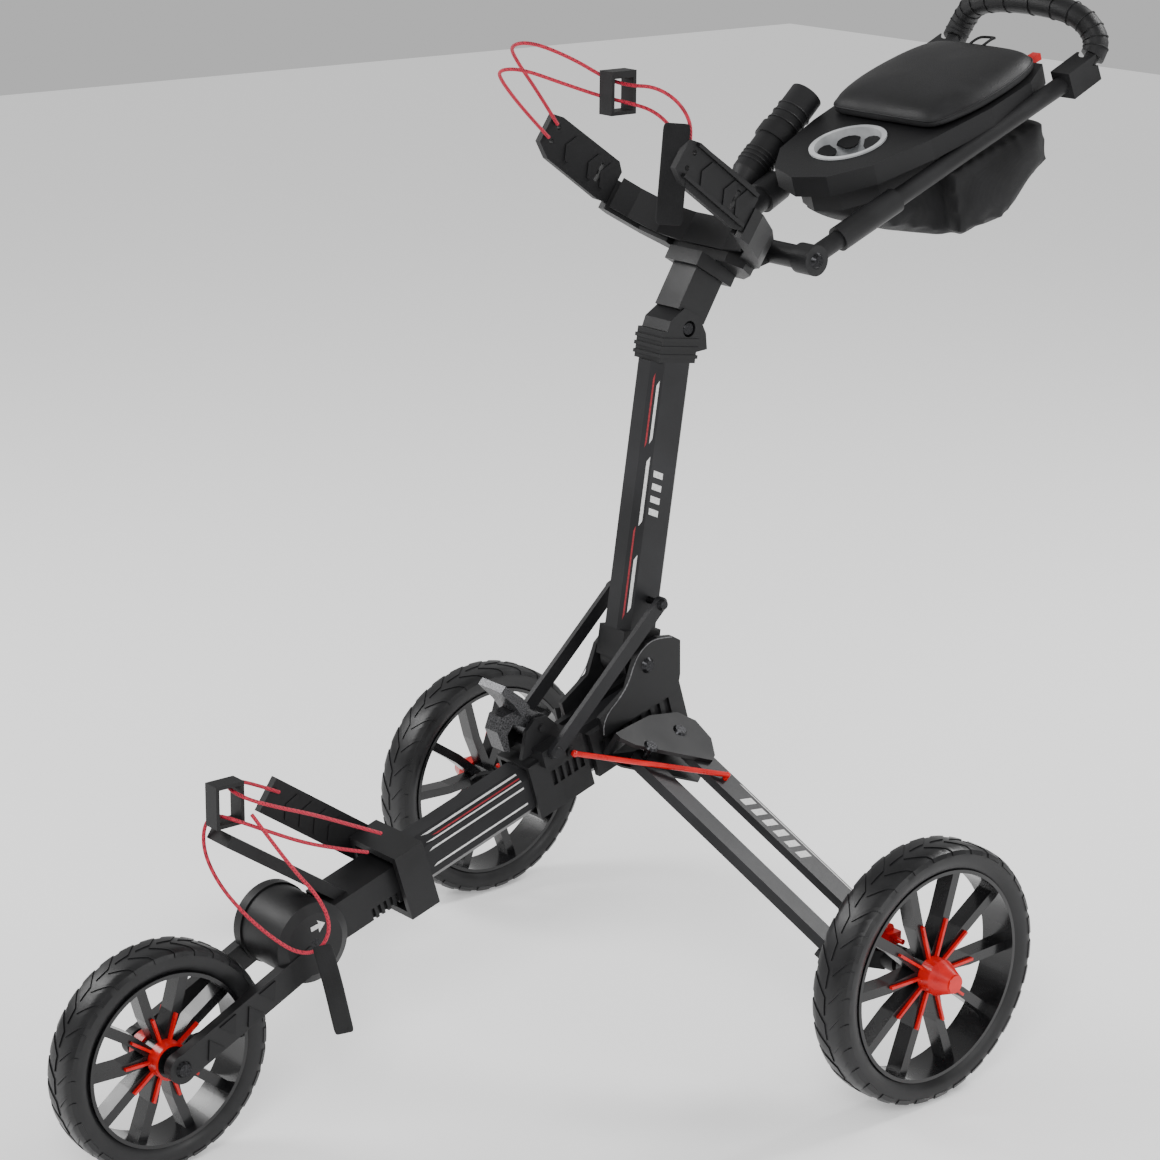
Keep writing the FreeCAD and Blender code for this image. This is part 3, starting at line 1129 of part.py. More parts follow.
def cord(label, points):
    route = [Vector(*point) for point in points]
    shape, wire, radii = pipe(route, SIZE["cord_radius"])
    expected = wire.Length * math.pi * SIZE["cord_radius"] ** 2
    print(f"{label}: {wire.Length:.0f} mm long, smallest arc {min(radii):.1f} mm,",
          f"volume off by {abs(shape.Volume / expected - 1) * 100:.2f} %")
    feature(shape, label)


def toggle(label, centre, window_high):
    """Cord toggle: an open frame that both cords pass through, with a hook below."""
    box = Part.makeBox(20, 34, 46, centre - Vector(10, 17, 23))
    window = Part.makeBox(40, 26, window_high, centre - Vector(20, 13, 19))
    bridge = Part.makeBox(20, 3, 12, centre - Vector(10, -14, 6))
    feature(box.cut(window).fuse(bridge), label)


def cords():
    cord("upper_bungee_high", UPPER_CORD_HIGH)
    cord("upper_bungee_low", UPPER_CORD_LOW)
    cord("lower_bungee_short", LOWER_CORD_SHORT)
    cord("lower_bungee_long", LOWER_CORD_LONG)
    toggle("upper_toggle", Vector(0, -122, 1050), 34.5)
    toggle("lower_toggle", Vector(0, -633, 373), 38)


def check_and_export():
    """Stops on a failed object, then writes one STEP file for each sub-part."""
    document.recompute()
    for obj in document.Objects:
        if "Invalid" in obj.State or "Error" in obj.State:
            raise RuntimeError(f"{obj.Label} did not compute: {obj.State}")
    os.makedirs("parts", exist_ok=True)
    for obj in sub_parts:
        shape = obj.Shape
        if shape.isNull() or not shape.isValid() or not shape.Solids:
            raise RuntimeError(f"{obj.Label} has no valid solid")
        shape.exportStep(f"parts/{obj.Label}.step")


fill_sheet()
GRIP_CORE, GRIP_COVER = grip_shapes()
FRAME_SHIFT = shift_to_centre()
wheel_set()
lower_frame()
side_plates()
leg_mounts()
leg_bolts()
legs()
wheel_brackets()
brake_parts()
COLLAR = collar()
side_links()
fold_rods()
latch(COLLAR)
post()
elbow()
neck()
cradle()
paddles()
cradle_strap()
handle_yoke()
handle_arms()
grip()
console()
cup_ring()
console_lid()
storage_bag()
umbrella_holder()
brake_lever()
DRUM_SHAPE = lower_bracket()
bag_rest()
lower_arm()
fork()
cords()
check_and_export()
print(len(sub_parts), "sub-parts")
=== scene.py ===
import bpy
import bmesh
import math
from mathutils import Matrix, Vector


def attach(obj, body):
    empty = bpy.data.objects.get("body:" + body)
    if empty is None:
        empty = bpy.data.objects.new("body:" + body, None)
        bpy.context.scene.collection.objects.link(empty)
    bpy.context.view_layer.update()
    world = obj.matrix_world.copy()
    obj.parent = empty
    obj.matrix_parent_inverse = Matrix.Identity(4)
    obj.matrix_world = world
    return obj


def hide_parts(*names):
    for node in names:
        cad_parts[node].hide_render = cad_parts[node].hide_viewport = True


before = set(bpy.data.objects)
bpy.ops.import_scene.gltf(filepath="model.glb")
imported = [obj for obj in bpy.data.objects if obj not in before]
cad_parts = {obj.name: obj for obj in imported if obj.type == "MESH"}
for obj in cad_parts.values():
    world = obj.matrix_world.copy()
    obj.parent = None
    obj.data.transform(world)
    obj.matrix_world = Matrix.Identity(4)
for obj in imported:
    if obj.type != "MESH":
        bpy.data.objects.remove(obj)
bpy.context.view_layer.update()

# ---- camera -----------------------------------------------------------------------------
# A long lens well in front of the cart and to its right, a little above the handle, looking
# down at all three wheels.
camera_data = bpy.data.cameras.new("camera")
camera_data.lens = 96.13
camera_data.sensor_width = 36.0
camera = bpy.data.objects.new("camera", camera_data)
bpy.context.scene.collection.objects.link(camera)
look_back = Vector((0.7326, -0.6167, 0.2880)).normalized()
look_right = Vector((0.6415, 0.7670, 0.0106)).normalized()
look_up = look_back.cross(look_right).normalized()
camera.matrix_world = Matrix.Translation((2.476, -2.0945, 1.496)) @ Matrix(
    (look_right, look_up, look_back)).transposed().to_4x4()
bpy.context.scene.camera = camera

# ---- bungee cords -----------------------------------------------------------------------
# Elastic cords 4 mm across in a tight crimson braid.  Their ends are knotted into the paddles
# and the lower bracket, and a cord toggle gathers each pair.
REAR_AXLE_Y = 0.15646
CORD_ACROSS = 0.004


def place(x, y, z):
    """A point given in millimetres from the rear axle line, in metres."""
    return Vector((x / 1000, y / 1000 + REAR_AXLE_Y, z / 1000))


def new_finish(name):
    """An empty node finish with its output and shader, and the tools to wire it."""
    finish = bpy.data.materials.new(name)
    finish.use_nodes = True
    nodes = finish.node_tree.nodes
    return finish, nodes, finish.node_tree.links, nodes["Principled BSDF"]


def noise_on(nodes, links, scale, detail=3.0, stretch=(1, 1, 1)):
    """Noise on the piece's own coordinates, in turns per metre."""
    where = nodes.new("ShaderNodeTexCoord")
    mapping = nodes.new("ShaderNodeMapping")
    mapping.inputs["Scale"].default_value = stretch
    noise = nodes.new("ShaderNodeTexNoise")
    noise.inputs["Scale"].default_value = scale
    noise.inputs["Detail"].default_value = detail
    links.new(where.outputs["Object"], mapping.inputs["Vector"])
    links.new(mapping.outputs["Vector"], noise.inputs["Vector"])
    return noise


def spread(nodes, links, source, low, high):
    """Maps a noise to a range of values."""
    ranged = nodes.new("ShaderNodeMapRange")
    ranged.inputs["From Min"].default_value = 0.3
    ranged.inputs["From Max"].default_value = 0.7
    ranged.inputs["To Min"].default_value = low
    ranged.inputs["To Max"].default_value = high
    links.new(source, ranged.inputs["Value"])
    return ranged.outputs["Result"]


def two_tone(nodes, links, source, dark, light, shader):
    """Colours the shader between a dark and a light tone by a noise."""
    ramp = nodes.new("ShaderNodeValToRGB")
    ramp.color_ramp.elements[0].position = 0.35
    ramp.color_ramp.elements[0].color = (*dark, 1)
    ramp.color_ramp.elements[1].position = 0.68
    ramp.color_ramp.elements[1].color = (*light, 1)
    links.new(source, ramp.inputs["Fac"])
    links.new(ramp.outputs["Color"], shader.inputs["Base Color"])


def relief(nodes, links, height, strength, distance, shader):
    """Raises a fine grain on the shader's surface."""
    bump = nodes.new("ShaderNodeBump")
    bump.inputs["Strength"].default_value = strength
    bump.inputs["Distance"].default_value = distance
    links.new(height, bump.inputs["Height"])
    links.new(bump.outputs["Normal"], shader.inputs["Normal"])


braid, nodes, links, shader = new_finish("crimson_braid")
where = nodes.new("ShaderNodeTexCoord")
strands = []
for direction in ((1, 1, 1), (-1, 1, -1)):
    mapping = nodes.new("ShaderNodeMapping")
    mapping.inputs["Scale"].default_value = direction
    wave = nodes.new("ShaderNodeTexWave")
    wave.bands_direction = "DIAGONAL"
    wave.inputs["Scale"].default_value = 190
    wave.inputs["Distortion"].default_value = 0.4
    links.new(where.outputs["Object"], mapping.inputs["Vector"])
    links.new(mapping.outputs["Vector"], wave.inputs["Vector"])
    strands.append(wave.outputs["Fac"])
crossing = nodes.new("ShaderNodeMath")
crossing.operation = "MAXIMUM"
links.new(strands[0], crossing.inputs[0])
links.new(strands[1], crossing.inputs[1])
two_tone(nodes, links, crossing.outputs["Value"], (0.14, 0.002, 0.012), (0.50, 0.006, 0.035),
         shader)
relief(nodes, links, crossing.outputs["Value"], 0.55, 0.0004, shader)
shader.inputs["Roughness"].default_value = 0.62
shader.inputs["Sheen Weight"].default_value = 0.1
shader.inputs["Sheen Roughness"].default_value = 0.4

CORD_ROUTES = {
    "upper_bungee_high": ("post", 0.386, [
        (-103.7, -118, 1003), (-100, -149, 1041), (-97, -182, 1078), (-86, -199, 1096),
        (-60, -190, 1101), (-34, -156, 1084), (-12, -126, 1062), (16, -119, 1058),
        (45, -112, 1060), (70, -104, 1050), (88, -100, 1032), (98, -105, 1014),
        (103.7, -114, 1001)]),
    "upper_bungee_low": ("post", 0.377, [
        (-103.7, -130, 990), (-102, -165, 1021), (-98, -200, 1056), (-86, -215, 1071),
        (-60, -204, 1074), (-36, -166, 1058), (-14, -128, 1043), (14, -115, 1039),
        (42, -108, 1034), (68, -106, 1020), (88, -113, 1004), (103.7, -126, 992)]),
    "lower_bungee_short": ("chassis", 0.314, [
        (-38, -541, 352), (-37, -577, 371), (-26, -610, 385), (-4, -628, 387), (20, -620, 380),
        (27, -588, 366), (26, -543, 347), (23, -498, 325), (19, -452, 302)]),
    "lower_bungee_long": ("chassis", 0.584, [
        (17, -468, 284), (18, -510, 299), (20, -553, 317), (21, -596, 340), (14, -628, 357),
        (-8, -640, 360), (-22, -645, 346), (-16, -650, 320), (6, -648, 292), (30, -635, 264),
        (48, -612, 236), (62, -588, 216), (75, -570, 220), (77, -558, 243), (67, -564, 272),
        (49, -586, 306), (33, -604, 340), (24, -617, 364)]),
}
for cord_name, (carrier, cord_length, route) in CORD_ROUTES.items():
    curve = bpy.data.curves.new(cord_name + "_braid", "CURVE")
    curve.dimensions = "3D"
    curve.bevel_depth = CORD_ACROSS / 2
    curve.bevel_resolution = 4
    curve.resolution_u = 10
    curve.use_fill_caps = True
    line = curve.splines.new("NURBS")
    line.points.add(len(route) - 1)
    for knot, spot in zip(line.points, route):
        knot.co = (*place(*spot), 1)
    line.order_u = 3
    line.use_endpoint_u = True
    cord = bpy.data.objects.new(cord_name + "_braid", curve)
    bpy.context.scene.collection.objects.link(cord)
    curve.materials.append(braid)
    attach(cord, carrier)
    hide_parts(cord_name)


# ---- aluminium tubes and bars -----------------------------------------------------------
# Drawn aluminium, faceted, with a satin charcoal powder coat that glints a little where the
# flakes in the coat catch the light.
def coat_cad(nodes_to_coat, finish):
    """Puts a finish on CAD parts that keep their own shape."""
    for node in nodes_to_coat:
        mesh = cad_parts[node].data
        mesh.materials.clear()
        mesh.materials.append(finish)


charcoal, nodes, links, shader = new_finish("charcoal_powder_coat")
flake = noise_on(nodes, links, 1400, 2)
cloud = noise_on(nodes, links, 9, 4)
two_tone(nodes, links, cloud.outputs["Fac"], (0.011, 0.011, 0.012), (0.021, 0.021, 0.023), shader)
relief(nodes, links, flake.outputs["Fac"], 0.12, 0.0002, shader)
links.new(spread(nodes, links, flake.outputs["Fac"], 0.34, 0.52), shader.inputs["Roughness"])
shader.inputs["Metallic"].default_value = 0.1
shader.inputs["Specular IOR Level"].default_value = 0.28
coat_cad(["lower_tube", "post_tube", "rear_leg_bar_right", "rear_leg_bar_left",
          "front_leg_bar_right", "front_leg_bar_left", "side_links"], charcoal)

# ---- glass-filled nylon castings --------------------------------------------------------
# Hub, collar, elbow, cradle base, brackets and fork: black nylon with a fine spark-eroded
# grain and soft grey wear where hands and straps rub it.
nylon, nodes, links, shader = new_finish("grained_nylon")
grain = noise_on(nodes, links, 1900, 4)
cloud = noise_on(nodes, links, 14, 5)
two_tone(nodes, links, cloud.outputs["Fac"], (0.005, 0.005, 0.0055), (0.012, 0.012, 0.013), shader)
shader.inputs["Specular IOR Level"].default_value = 0.32
relief(nodes, links, grain.outputs["Fac"], 0.35, 0.0003, shader)
links.new(spread(nodes, links, cloud.outputs["Fac"], 0.40, 0.58), shader.inputs["Roughness"])
coat_cad(["fold_hub", "side_plates", "leg_mounts", "lower_bracket", "fork_drum",
          "slide_collar", "latch_yoke", "wheel_bracket_right", "wheel_bracket_left",
          "post_foot", "post_elbow", "neck_tube", "cradle_base", "handle_yoke", "fork_arms",
          "handle_loop", "handle_arms", "umbrella_holder"], nylon)

soft_black, nodes, links, shader = new_finish("soft_touch_black")
grain = noise_on(nodes, links, 900, 6)
two_tone(nodes, links, grain.outputs["Fac"], (0.004, 0.004, 0.0045), (0.010, 0.010, 0.011), shader)
shader.inputs["Specular IOR Level"].default_value = 0.30
relief(nodes, links, grain.outputs["Fac"], 0.25, 0.0003, shader)
links.new(spread(nodes, links, grain.outputs["Fac"], 0.45, 0.62), shader.inputs["Roughness"])
coat_cad(["cradle_paddles", "lower_arm", "bag_rest", "cradle_strap", "upper_toggle",
          "lower_toggle", "console_tray"], soft_black)

# ---- fasteners and the latch ------------------------------------------------------------
# Black oxide bolts and axles, and the cast aluminium claw of the fold latch, tumbled so that
# its edges are brighter than its hollows.
oxide, nodes, links, shader = new_finish("black_oxide_steel")
grain = noise_on(nodes, links, 500, 4)
two_tone(nodes, links, grain.outputs["Fac"], (0.012, 0.012, 0.013), (0.035, 0.035, 0.038), shader)
links.new(spread(nodes, links, grain.outputs["Fac"], 0.22, 0.38), shader.inputs["Roughness"])
shader.inputs["Metallic"].default_value = 0.8
coat_cad(["chassis_bolts", "post_bolts", "handle_pin", "fork_axle", "front_axle"], oxide)

cast, nodes, links, shader = new_finish("tumbled_aluminium")
grain = noise_on(nodes, links, 700, 5)
two_tone(nodes, links, grain.outputs["Fac"], (0.035, 0.035, 0.037), (0.13, 0.13, 0.135), shader)
relief(nodes, links, grain.outputs["Fac"], 0.2, 0.0003, shader)
links.new(spread(nodes, links, grain.outputs["Fac"], 0.24, 0.40), shader.inputs["Roughness"])
shader.inputs["Metallic"].default_value = 0.9
coat_cad(["latch_lever"], cast)

# ---- red parts --------------------------------------------------------------------------
# Bright red moulded caps, brake blocks and thumb lever, and the lacquered steel fold rods.
red, nodes, links, shader = new_finish("signal_red_plastic")
cloud = noise_on(nodes, links, 60, 4)
two_tone(nodes, links, cloud.outputs["Fac"], (0.50, 0.003, 0.004), (0.68, 0.006, 0.006), shader)
shader.inputs["Specular IOR Level"].default_value = 0.35
relief(nodes, links, noise_on(nodes, links, 1500, 2).outputs["Fac"], 0.08, 0.0002, shader)
links.new(spread(nodes, links, cloud.outputs["Fac"], 0.24, 0.36), shader.inputs["Roughness"])
shader.inputs["Coat Weight"].default_value = 0.12
coat_cad(["front_hub_caps", "rear_right_hub_cap", "rear_left_hub_cap", "brake_block_right",
          "brake_block_left", "brake_lever", "fold_rod_right", "fold_rod_left"], red)

# ---- rims -------------------------------------------------------------------------------
# Moulded black rims with a deep barrel and five pairs of spokes, polished like piano lacquer
# on the faces, with faint flow marks from the mould.
gloss, nodes, links, shader = new_finish("gloss_black_rim")
cloud = noise_on(nodes, links, 22, 5)
two_tone(nodes, links, cloud.outputs["Fac"], (0.004, 0.004, 0.0045), (0.009, 0.009, 0.010), shader)
shader.inputs["Specular IOR Level"].default_value = 0.42
relief(nodes, links, noise_on(nodes, links, 120, 2).outputs["Fac"], 0.05, 0.0003, shader)
links.new(spread(nodes, links, cloud.outputs["Fac"], 0.20, 0.34), shader.inputs["Roughness"])
shader.inputs["Coat Weight"].default_value = 0.15
coat_cad(["front_rim", "rear_right_rim", "rear_left_rim"], gloss)

# ---- tyres ------------------------------------------------------------------------------
# Solid rubber tyres: a polished sidewall with a fine bead line, and slanting tread blocks that
# meet in a chevron over the middle of the tread.
rubber, nodes, links, shader = new_finish("tyre_rubber")
grain = noise_on(nodes, links, 1200, 4)
cloud = noise_on(nodes, links, 26, 5)
two_tone(nodes, links, cloud.outputs["Fac"], (0.005, 0.005, 0.0055), (0.012, 0.012, 0.013), shader)
shader.inputs["Specular IOR Level"].default_value = 0.35
relief(nodes, links, grain.outputs["Fac"], 0.18, 0.0003, shader)
links.new(spread(nodes, links, cloud.outputs["Fac"], 0.30, 0.48), shader.inputs["Roughness"])

TREAD_BLOCKS = 30
BLOCK_HIGH = 0.0011
TYRE_SECTION = [(-20.0, 0.0), (-22.5, 3.5), (-24.6, 8.0), (-25.6, 13.0), (-25.4, 18.0),
                (-23.4, 22.2), (-19.0, 24.6), (-14.5, 25.4), (-8.0, 25.8), (-3.0, 25.9),
                (0.0, 25.9), (3.0, 25.9), (8.0, 25.8), (14.5, 25.4), (19.0, 24.6),
                (23.4, 22.2), (25.4, 18.0), (25.6, 13.0), (24.6, 8.0), (22.5, 3.5),
                (20.0, 0.0)]


def model_tyre(name, outer, width, centre):
    """A strip of tyre one tread block wide, its blocks raised, spun round the axle."""
    bpy.ops.object.select_all(action="DESELECT")
    bpy.ops.mesh.primitive_grid_add(x_subdivisions=len(TYRE_SECTION) - 1, y_subdivisions=6,
                                    size=2)
    made = bpy.context.object
    made.name = name
    step = 2 * math.pi / TREAD_BLOCKS
    bead = outer - 0.027
    for vertex in made.data.vertices:
        column = round((vertex.co.x + 1) / 2 * (len(TYRE_SECTION) - 1))
        along = (vertex.co.y + 1) / 2
        across, height = TYRE_SECTION[column]
        skew = 0.85 * (1 - min(abs(across), 22) / 22)
        angle = step * (along + skew)
        radius = bead + height / 1000
        vertex.co = (across / 1000 * width / 0.052, radius * math.cos(angle),
                     radius * math.sin(angle))
    bpy.ops.object.mode_set(mode="EDIT")
    bpy.ops.mesh.select_mode(type="FACE")
    bpy.ops.mesh.select_all(action="DESELECT")
    sheet = bmesh.from_edit_mesh(made.data)
    sheet.faces.ensure_lookup_table()
    columns = len(TYRE_SECTION) - 1
    for number, face in enumerate(sheet.faces):
        column = number % columns
        row = number // columns
        shoulder = column in (4, 5, 6, 7) or column in (12, 13, 14, 15)
        middle = column in (8, 11)
        late = column >= columns // 2
        open_row = 5 if not late else 2
        face.select = (shoulder or middle) and row != open_row and row != (open_row + 5) % 6
    bmesh.update_edit_mesh(made.data)
    bpy.ops.mesh.extrude_region_shrink_fatten(
        TRANSFORM_OT_shrink_fatten={"value": -BLOCK_HIGH})
    bpy.ops.mesh.select_all(action="SELECT")
    bpy.ops.mesh.spin(steps=TREAD_BLOCKS, dupli=True, angle=2 * math.pi, center=(0, 0, 0),
                      axis=(1, 0, 0))
    bpy.ops.mesh.select_all(action="SELECT")
    bpy.ops.mesh.remove_doubles(threshold=0.00002)
    bpy.ops.mesh.select_all(action="DESELECT")
    bpy.ops.object.mode_set(mode="OBJECT")
    cap = bmesh.new()
    cap.from_mesh(made.data)
    bmesh.ops.bridge_loops(cap, edges=[edge for edge in cap.edges if edge.is_boundary])
    bmesh.ops.recalc_face_normals(cap, faces=cap.faces)
    cap.to_mesh(made.data)
    cap.free()
    made.data.transform(Matrix.Translation(centre))
    bpy.ops.object.shade_smooth_by_angle(angle=math.radians(32))
    made.data.materials.append(rubber)
    return made


TYRES = [("rear_right", "wheel_right", 0.146, 0.0515, place(380, 0, 146)),
         ("rear_left", "wheel_left", 0.146, 0.0515, place(-380, 0, 146)),
         ("front", "wheel_front", 0.121, 0.0475, place(0, -720, 121))]
for name, carrier, outer, width, centre in TYRES:
    tyre = model_tyre(name + "_treaded_tyre", outer, width, centre)
    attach(tyre, carrier)
    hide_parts(name + "_tyre")

# ---- stripes ----------------------------------------------------------------------------
# Thin printed films on the post, the lower tube and the legs: plain white and dark red lines
# that run with the facets.
white_ink, nodes, links, shader = new_finish("white_film")
wear = noise_on(nodes, links, 420, 6)
two_tone(nodes, links, wear.outputs["Fac"], (0.52, 0.52, 0.52), (0.74, 0.74, 0.73), shader)
links.new(spread(nodes, links, wear.outputs["Fac"], 0.35, 0.5), shader.inputs["Roughness"])
red_ink, nodes, links, shader = new_finish("dark_red_film")
wear = noise_on(nodes, links, 420, 6)
two_tone(nodes, links, wear.outputs["Fac"], (0.19, 0.005, 0.012), (0.34, 0.008, 0.018), shader)
links.new(spread(nodes, links, wear.outputs["Fac"], 0.35, 0.5), shader.inputs["Roughness"])


def model_film(name, corners, outward, finish, carrier, thick=0.0003):
    """A film or a raised pad of one thickness, laid on a flat face."""
    bpy.ops.object.select_all(action="DESELECT")
    bpy.ops.mesh.primitive_circle_add(vertices=len(corners), radius=1, fill_type="NGON")
    film = bpy.context.object
    film.name = name
    for vertex, corner in zip(film.data.vertices, corners):
        vertex.co = corner + outward * 0.00005
    bpy.ops.object.mode_set(mode="EDIT")
    bpy.ops.mesh.select_all(action="SELECT")
    bpy.ops.mesh.extrude_region_move(
        TRANSFORM_OT_translate={"value": tuple(outward * thick)})
    bpy.ops.mesh.select_all(action="SELECT")
    bpy.ops.mesh.normals_make_consistent(inside=False)
    bpy.ops.object.mode_set(mode="OBJECT")
    film.data.materials.append(finish)
    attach(film, carrier)
    return film


lean = math.radians(8.3)
post_up = Vector((0, math.sin(lean), math.cos(lean)))
post_front = Vector((0, -math.cos(lean), math.sin(lean)))
post_root = place(0, -98, 420) + post_up * 0.036


def on_post(across, front, up):
    """A point by the post's own axes, in metres."""
    return post_root + Vector((across, 0, 0)) + post_front * front + post_up * up


def on_facet(share, up):
    """A point on the post's right front facet; share runs from its front edge to its side."""
    return on_post(0.010 + 0.011 * share, 0.029 - 0.011 * share, up)


facet_out = (Vector((1, 0, 0)) + post_front).normalized()
side_out = Vector((1, 0, 0))
FILM_SLANT = 0.006
POST_FILMS = [(0.30, 0.42, 0.012, 0.118, red_ink), (0.58, 0.80, 0.020, 0.086, white_ink),
              (0.60, 0.82, 0.118, 0.196, white_ink), (0.32, 0.44, 0.205, 0.288, red_ink),
              (0.62, 0.80, 0.210, 0.280, white_ink)]
for number, (start, stop, low, high, ink) in enumerate(POST_FILMS):
    model_film(f"post_film_{number}", [on_facet(start, low), on_facet(stop, low + FILM_SLANT),
                                       on_facet(stop, high), on_facet(start, high - FILM_SLANT)],
               facet_out, ink, "post")
POST_HALF_WIDE = 0.021
SLASH_HIGH = 0.007
for number in range(4):
    low = 0.128 + 0.014 * number
    corners = [on_post(POST_HALF_WIDE, 0.000, low), on_post(POST_HALF_WIDE, 0.014, low + 0.004),
               on_post(POST_HALF_WIDE, 0.014, low + 0.004 + SLASH_HIGH),
               on_post(POST_HALF_WIDE, 0.000, low + SLASH_HIGH)]
    model_film(f"post_slash_{number}", corners, side_out, white_ink, "post")

slope = math.radians(17.5)
tube_along = Vector((0, math.cos(slope), math.sin(slope)))
tube_up = Vector((0, -math.sin(slope), math.cos(slope)))
tube_root = place(0, -416, 249)


def on_tube(across, up, along):
    """A point by the lower tube's own axes, in metres."""
    return tube_root + Vector((across, 0, 0)) + tube_up * up + tube_along * along


top_out = (Vector((1, 0, 0)) + tube_up).normalized()
TUBE_FILMS = [(0.20, 0.34, 0.030, 0.165, white_ink), (0.58, 0.68, 0.040, 0.165, red_ink),
              (0.80, 0.90, 0.030, 0.165, white_ink)]
for number, (start, stop, low, high, ink) in enumerate(TUBE_FILMS):
    corners = [on_tube(0.011 + 0.011 * share, 0.029 - 0.011 * share, along)
               for share, along in ((start, low), (stop, low + 0.008), (stop, high),
                                    (start, high))]
    model_film(f"tube_film_{number}", corners, top_out, ink, "chassis")
for number, level in enumerate((0.010, -0.010)):
    corners = [on_tube(0.022, level, 0.03), on_tube(0.022, level + 0.0022, 0.035),
               on_tube(0.022, level + 0.0022, 0.165), on_tube(0.022, level, 0.165)]
    model_film(f"tube_line_{number}", corners, side_out, white_ink, "chassis", thick=0.0001)

leg_out = Vector((0.8116, 0.2328, -0.5360)).normalized()
leg_up = leg_out.cross(Vector((0, 0.9925, -0.1219))).normalized()
leg_back = leg_up.cross(leg_out)
leg_root = place(60, -68, 345)


def on_leg(out, back, up):
    """A point by the right rear leg bar's own axes, in millimetres."""
    return leg_root + (leg_out * out + leg_back * back + leg_up * up) / 1000


for number in range(6):
    low = 104 + 17 * number
    corners = [on_leg(low, -9, -7.4), on_leg(low + 9, -9, -7.4), on_leg(low + 14, 7, -7.4),
               on_leg(low + 5, 7, -7.4)]
    model_film(f"leg_slash_{number}", corners, leg_up, white_ink, "rear_bar_right")
model_film("leg_line", [on_leg(88, 11.5, -7.4), on_leg(268, 11.5, -7.4), on_leg(264, 12.8, -7.4),
                        on_leg(92, 12.8, -7.4)], leg_up, white_ink, "rear_bar_right")

# ---- console lid ------------------------------------------------------------------------
# Padded lid in pebbled leatherette over foam: it crowns in the middle and pulls in to a piped
# seam round its rim.
leather, nodes, links, shader = new_finish("pebbled_leatherette")
where = nodes.new("ShaderNodeTexCoord")
cells = nodes.new("ShaderNodeTexVoronoi")
cells.feature = "DISTANCE_TO_EDGE"
cells.inputs["Scale"].default_value = 520
links.new(where.outputs["Object"], cells.inputs["Vector"])
cloud = noise_on(nodes, links, 24, 5)
two_tone(nodes, links, cloud.outputs["Fac"], (0.005, 0.005, 0.0055), (0.013, 0.013, 0.014), shader)
shader.inputs["Specular IOR Level"].default_value = 0.32
relief(nodes, links, cells.outputs["Distance"], 0.5, 0.0006, shader)
links.new(spread(nodes, links, cloud.outputs["Fac"], 0.42, 0.60), shader.inputs["Roughness"])

console_turn = Matrix.Rotation(math.radians(19), 4, "X")
console_place = Matrix.Translation(place(0, 140, 918)) @ console_turn
LID_MIDDLE = 240
LID_RIM = [(0, 147), (30, 147), (60, 147), (82, 149), (93, 178), (99, 215), (98, 255),
           (94, 290), (84, 318), (70, 332), (36, 334), (0, 334)]
lid_outline = LID_RIM + [(-x, y) for x, y in reversed(LID_RIM[1:-1])]
LID_RINGS = [(0.975, 18.6), (1.0, 22.0), (1.0, 26.5), (0.985, 31.0), (0.93, 37.5), (0.82, 43.0),
             (0.64, 46.5), (0.40, 48.6), (0.16, 49.4)]
bpy.ops.object.select_all(action="DESELECT")
bpy.ops.mesh.primitive_circle_add(vertices=len(lid_outline), radius=1, fill_type="NGON")
lid = bpy.context.object
lid.name = "console_lid_pad"
shell = bmesh.new()
rings = []
for scale, level in LID_RINGS:
    rings.append([shell.verts.new((x * scale / 1000,
                                   (LID_MIDDLE + (y - LID_MIDDLE) * scale) / 1000,
                                   level / 1000)) for x, y in lid_outline])
for lower, upper in zip(rings, rings[1:]):
    for index in range(len(lower)):
        after = (index + 1) % len(lower)
        shell.faces.new((lower[index], lower[after], upper[after], upper[index]))
shell.faces.new(rings[-1])
shell.faces.new(list(reversed(rings[0])))
bmesh.ops.recalc_face_normals(shell, faces=shell.faces)
shell.to_mesh(lid.data)
shell.free()
rounding = lid.modifiers.new("rounding", "SUBSURF")
rounding.levels = 2
rounding.render_levels = 2
bpy.ops.object.modifier_apply(modifier="rounding")
lid.data.transform(console_place)
bpy.ops.object.shade_smooth()
lid.data.materials.append(leather)
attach(lid, "lid")
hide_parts("console_lid")


def model_piping(name, points, radius, finish, carrier, closed=True):
    """Round piping along a smooth line of points, as a mesh."""
    curve = bpy.data.curves.new(name, "CURVE")
    curve.dimensions = "3D"
    curve.bevel_depth = radius
    curve.bevel_resolution = 3
    curve.resolution_u = 4
    curve.use_fill_caps = True
    line = curve.splines.new("NURBS")
    line.points.add(len(points) - 1)
    for knot, spot in zip(line.points, points):
        knot.co = (*spot, 1)
    line.order_u = 3
    line.use_cyclic_u = closed
    line.use_endpoint_u = not closed
    piping = bpy.data.objects.new(name, curve)
    bpy.context.scene.collection.objects.link(piping)
    bpy.ops.object.select_all(action="DESELECT")
    piping.select_set(True)
    bpy.context.view_layer.objects.active = piping
    bpy.ops.object.convert(target="MESH")
    piping = bpy.context.object
    bpy.ops.object.shade_smooth()
    piping.data.materials.append(finish)
    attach(piping, carrier)
    return piping


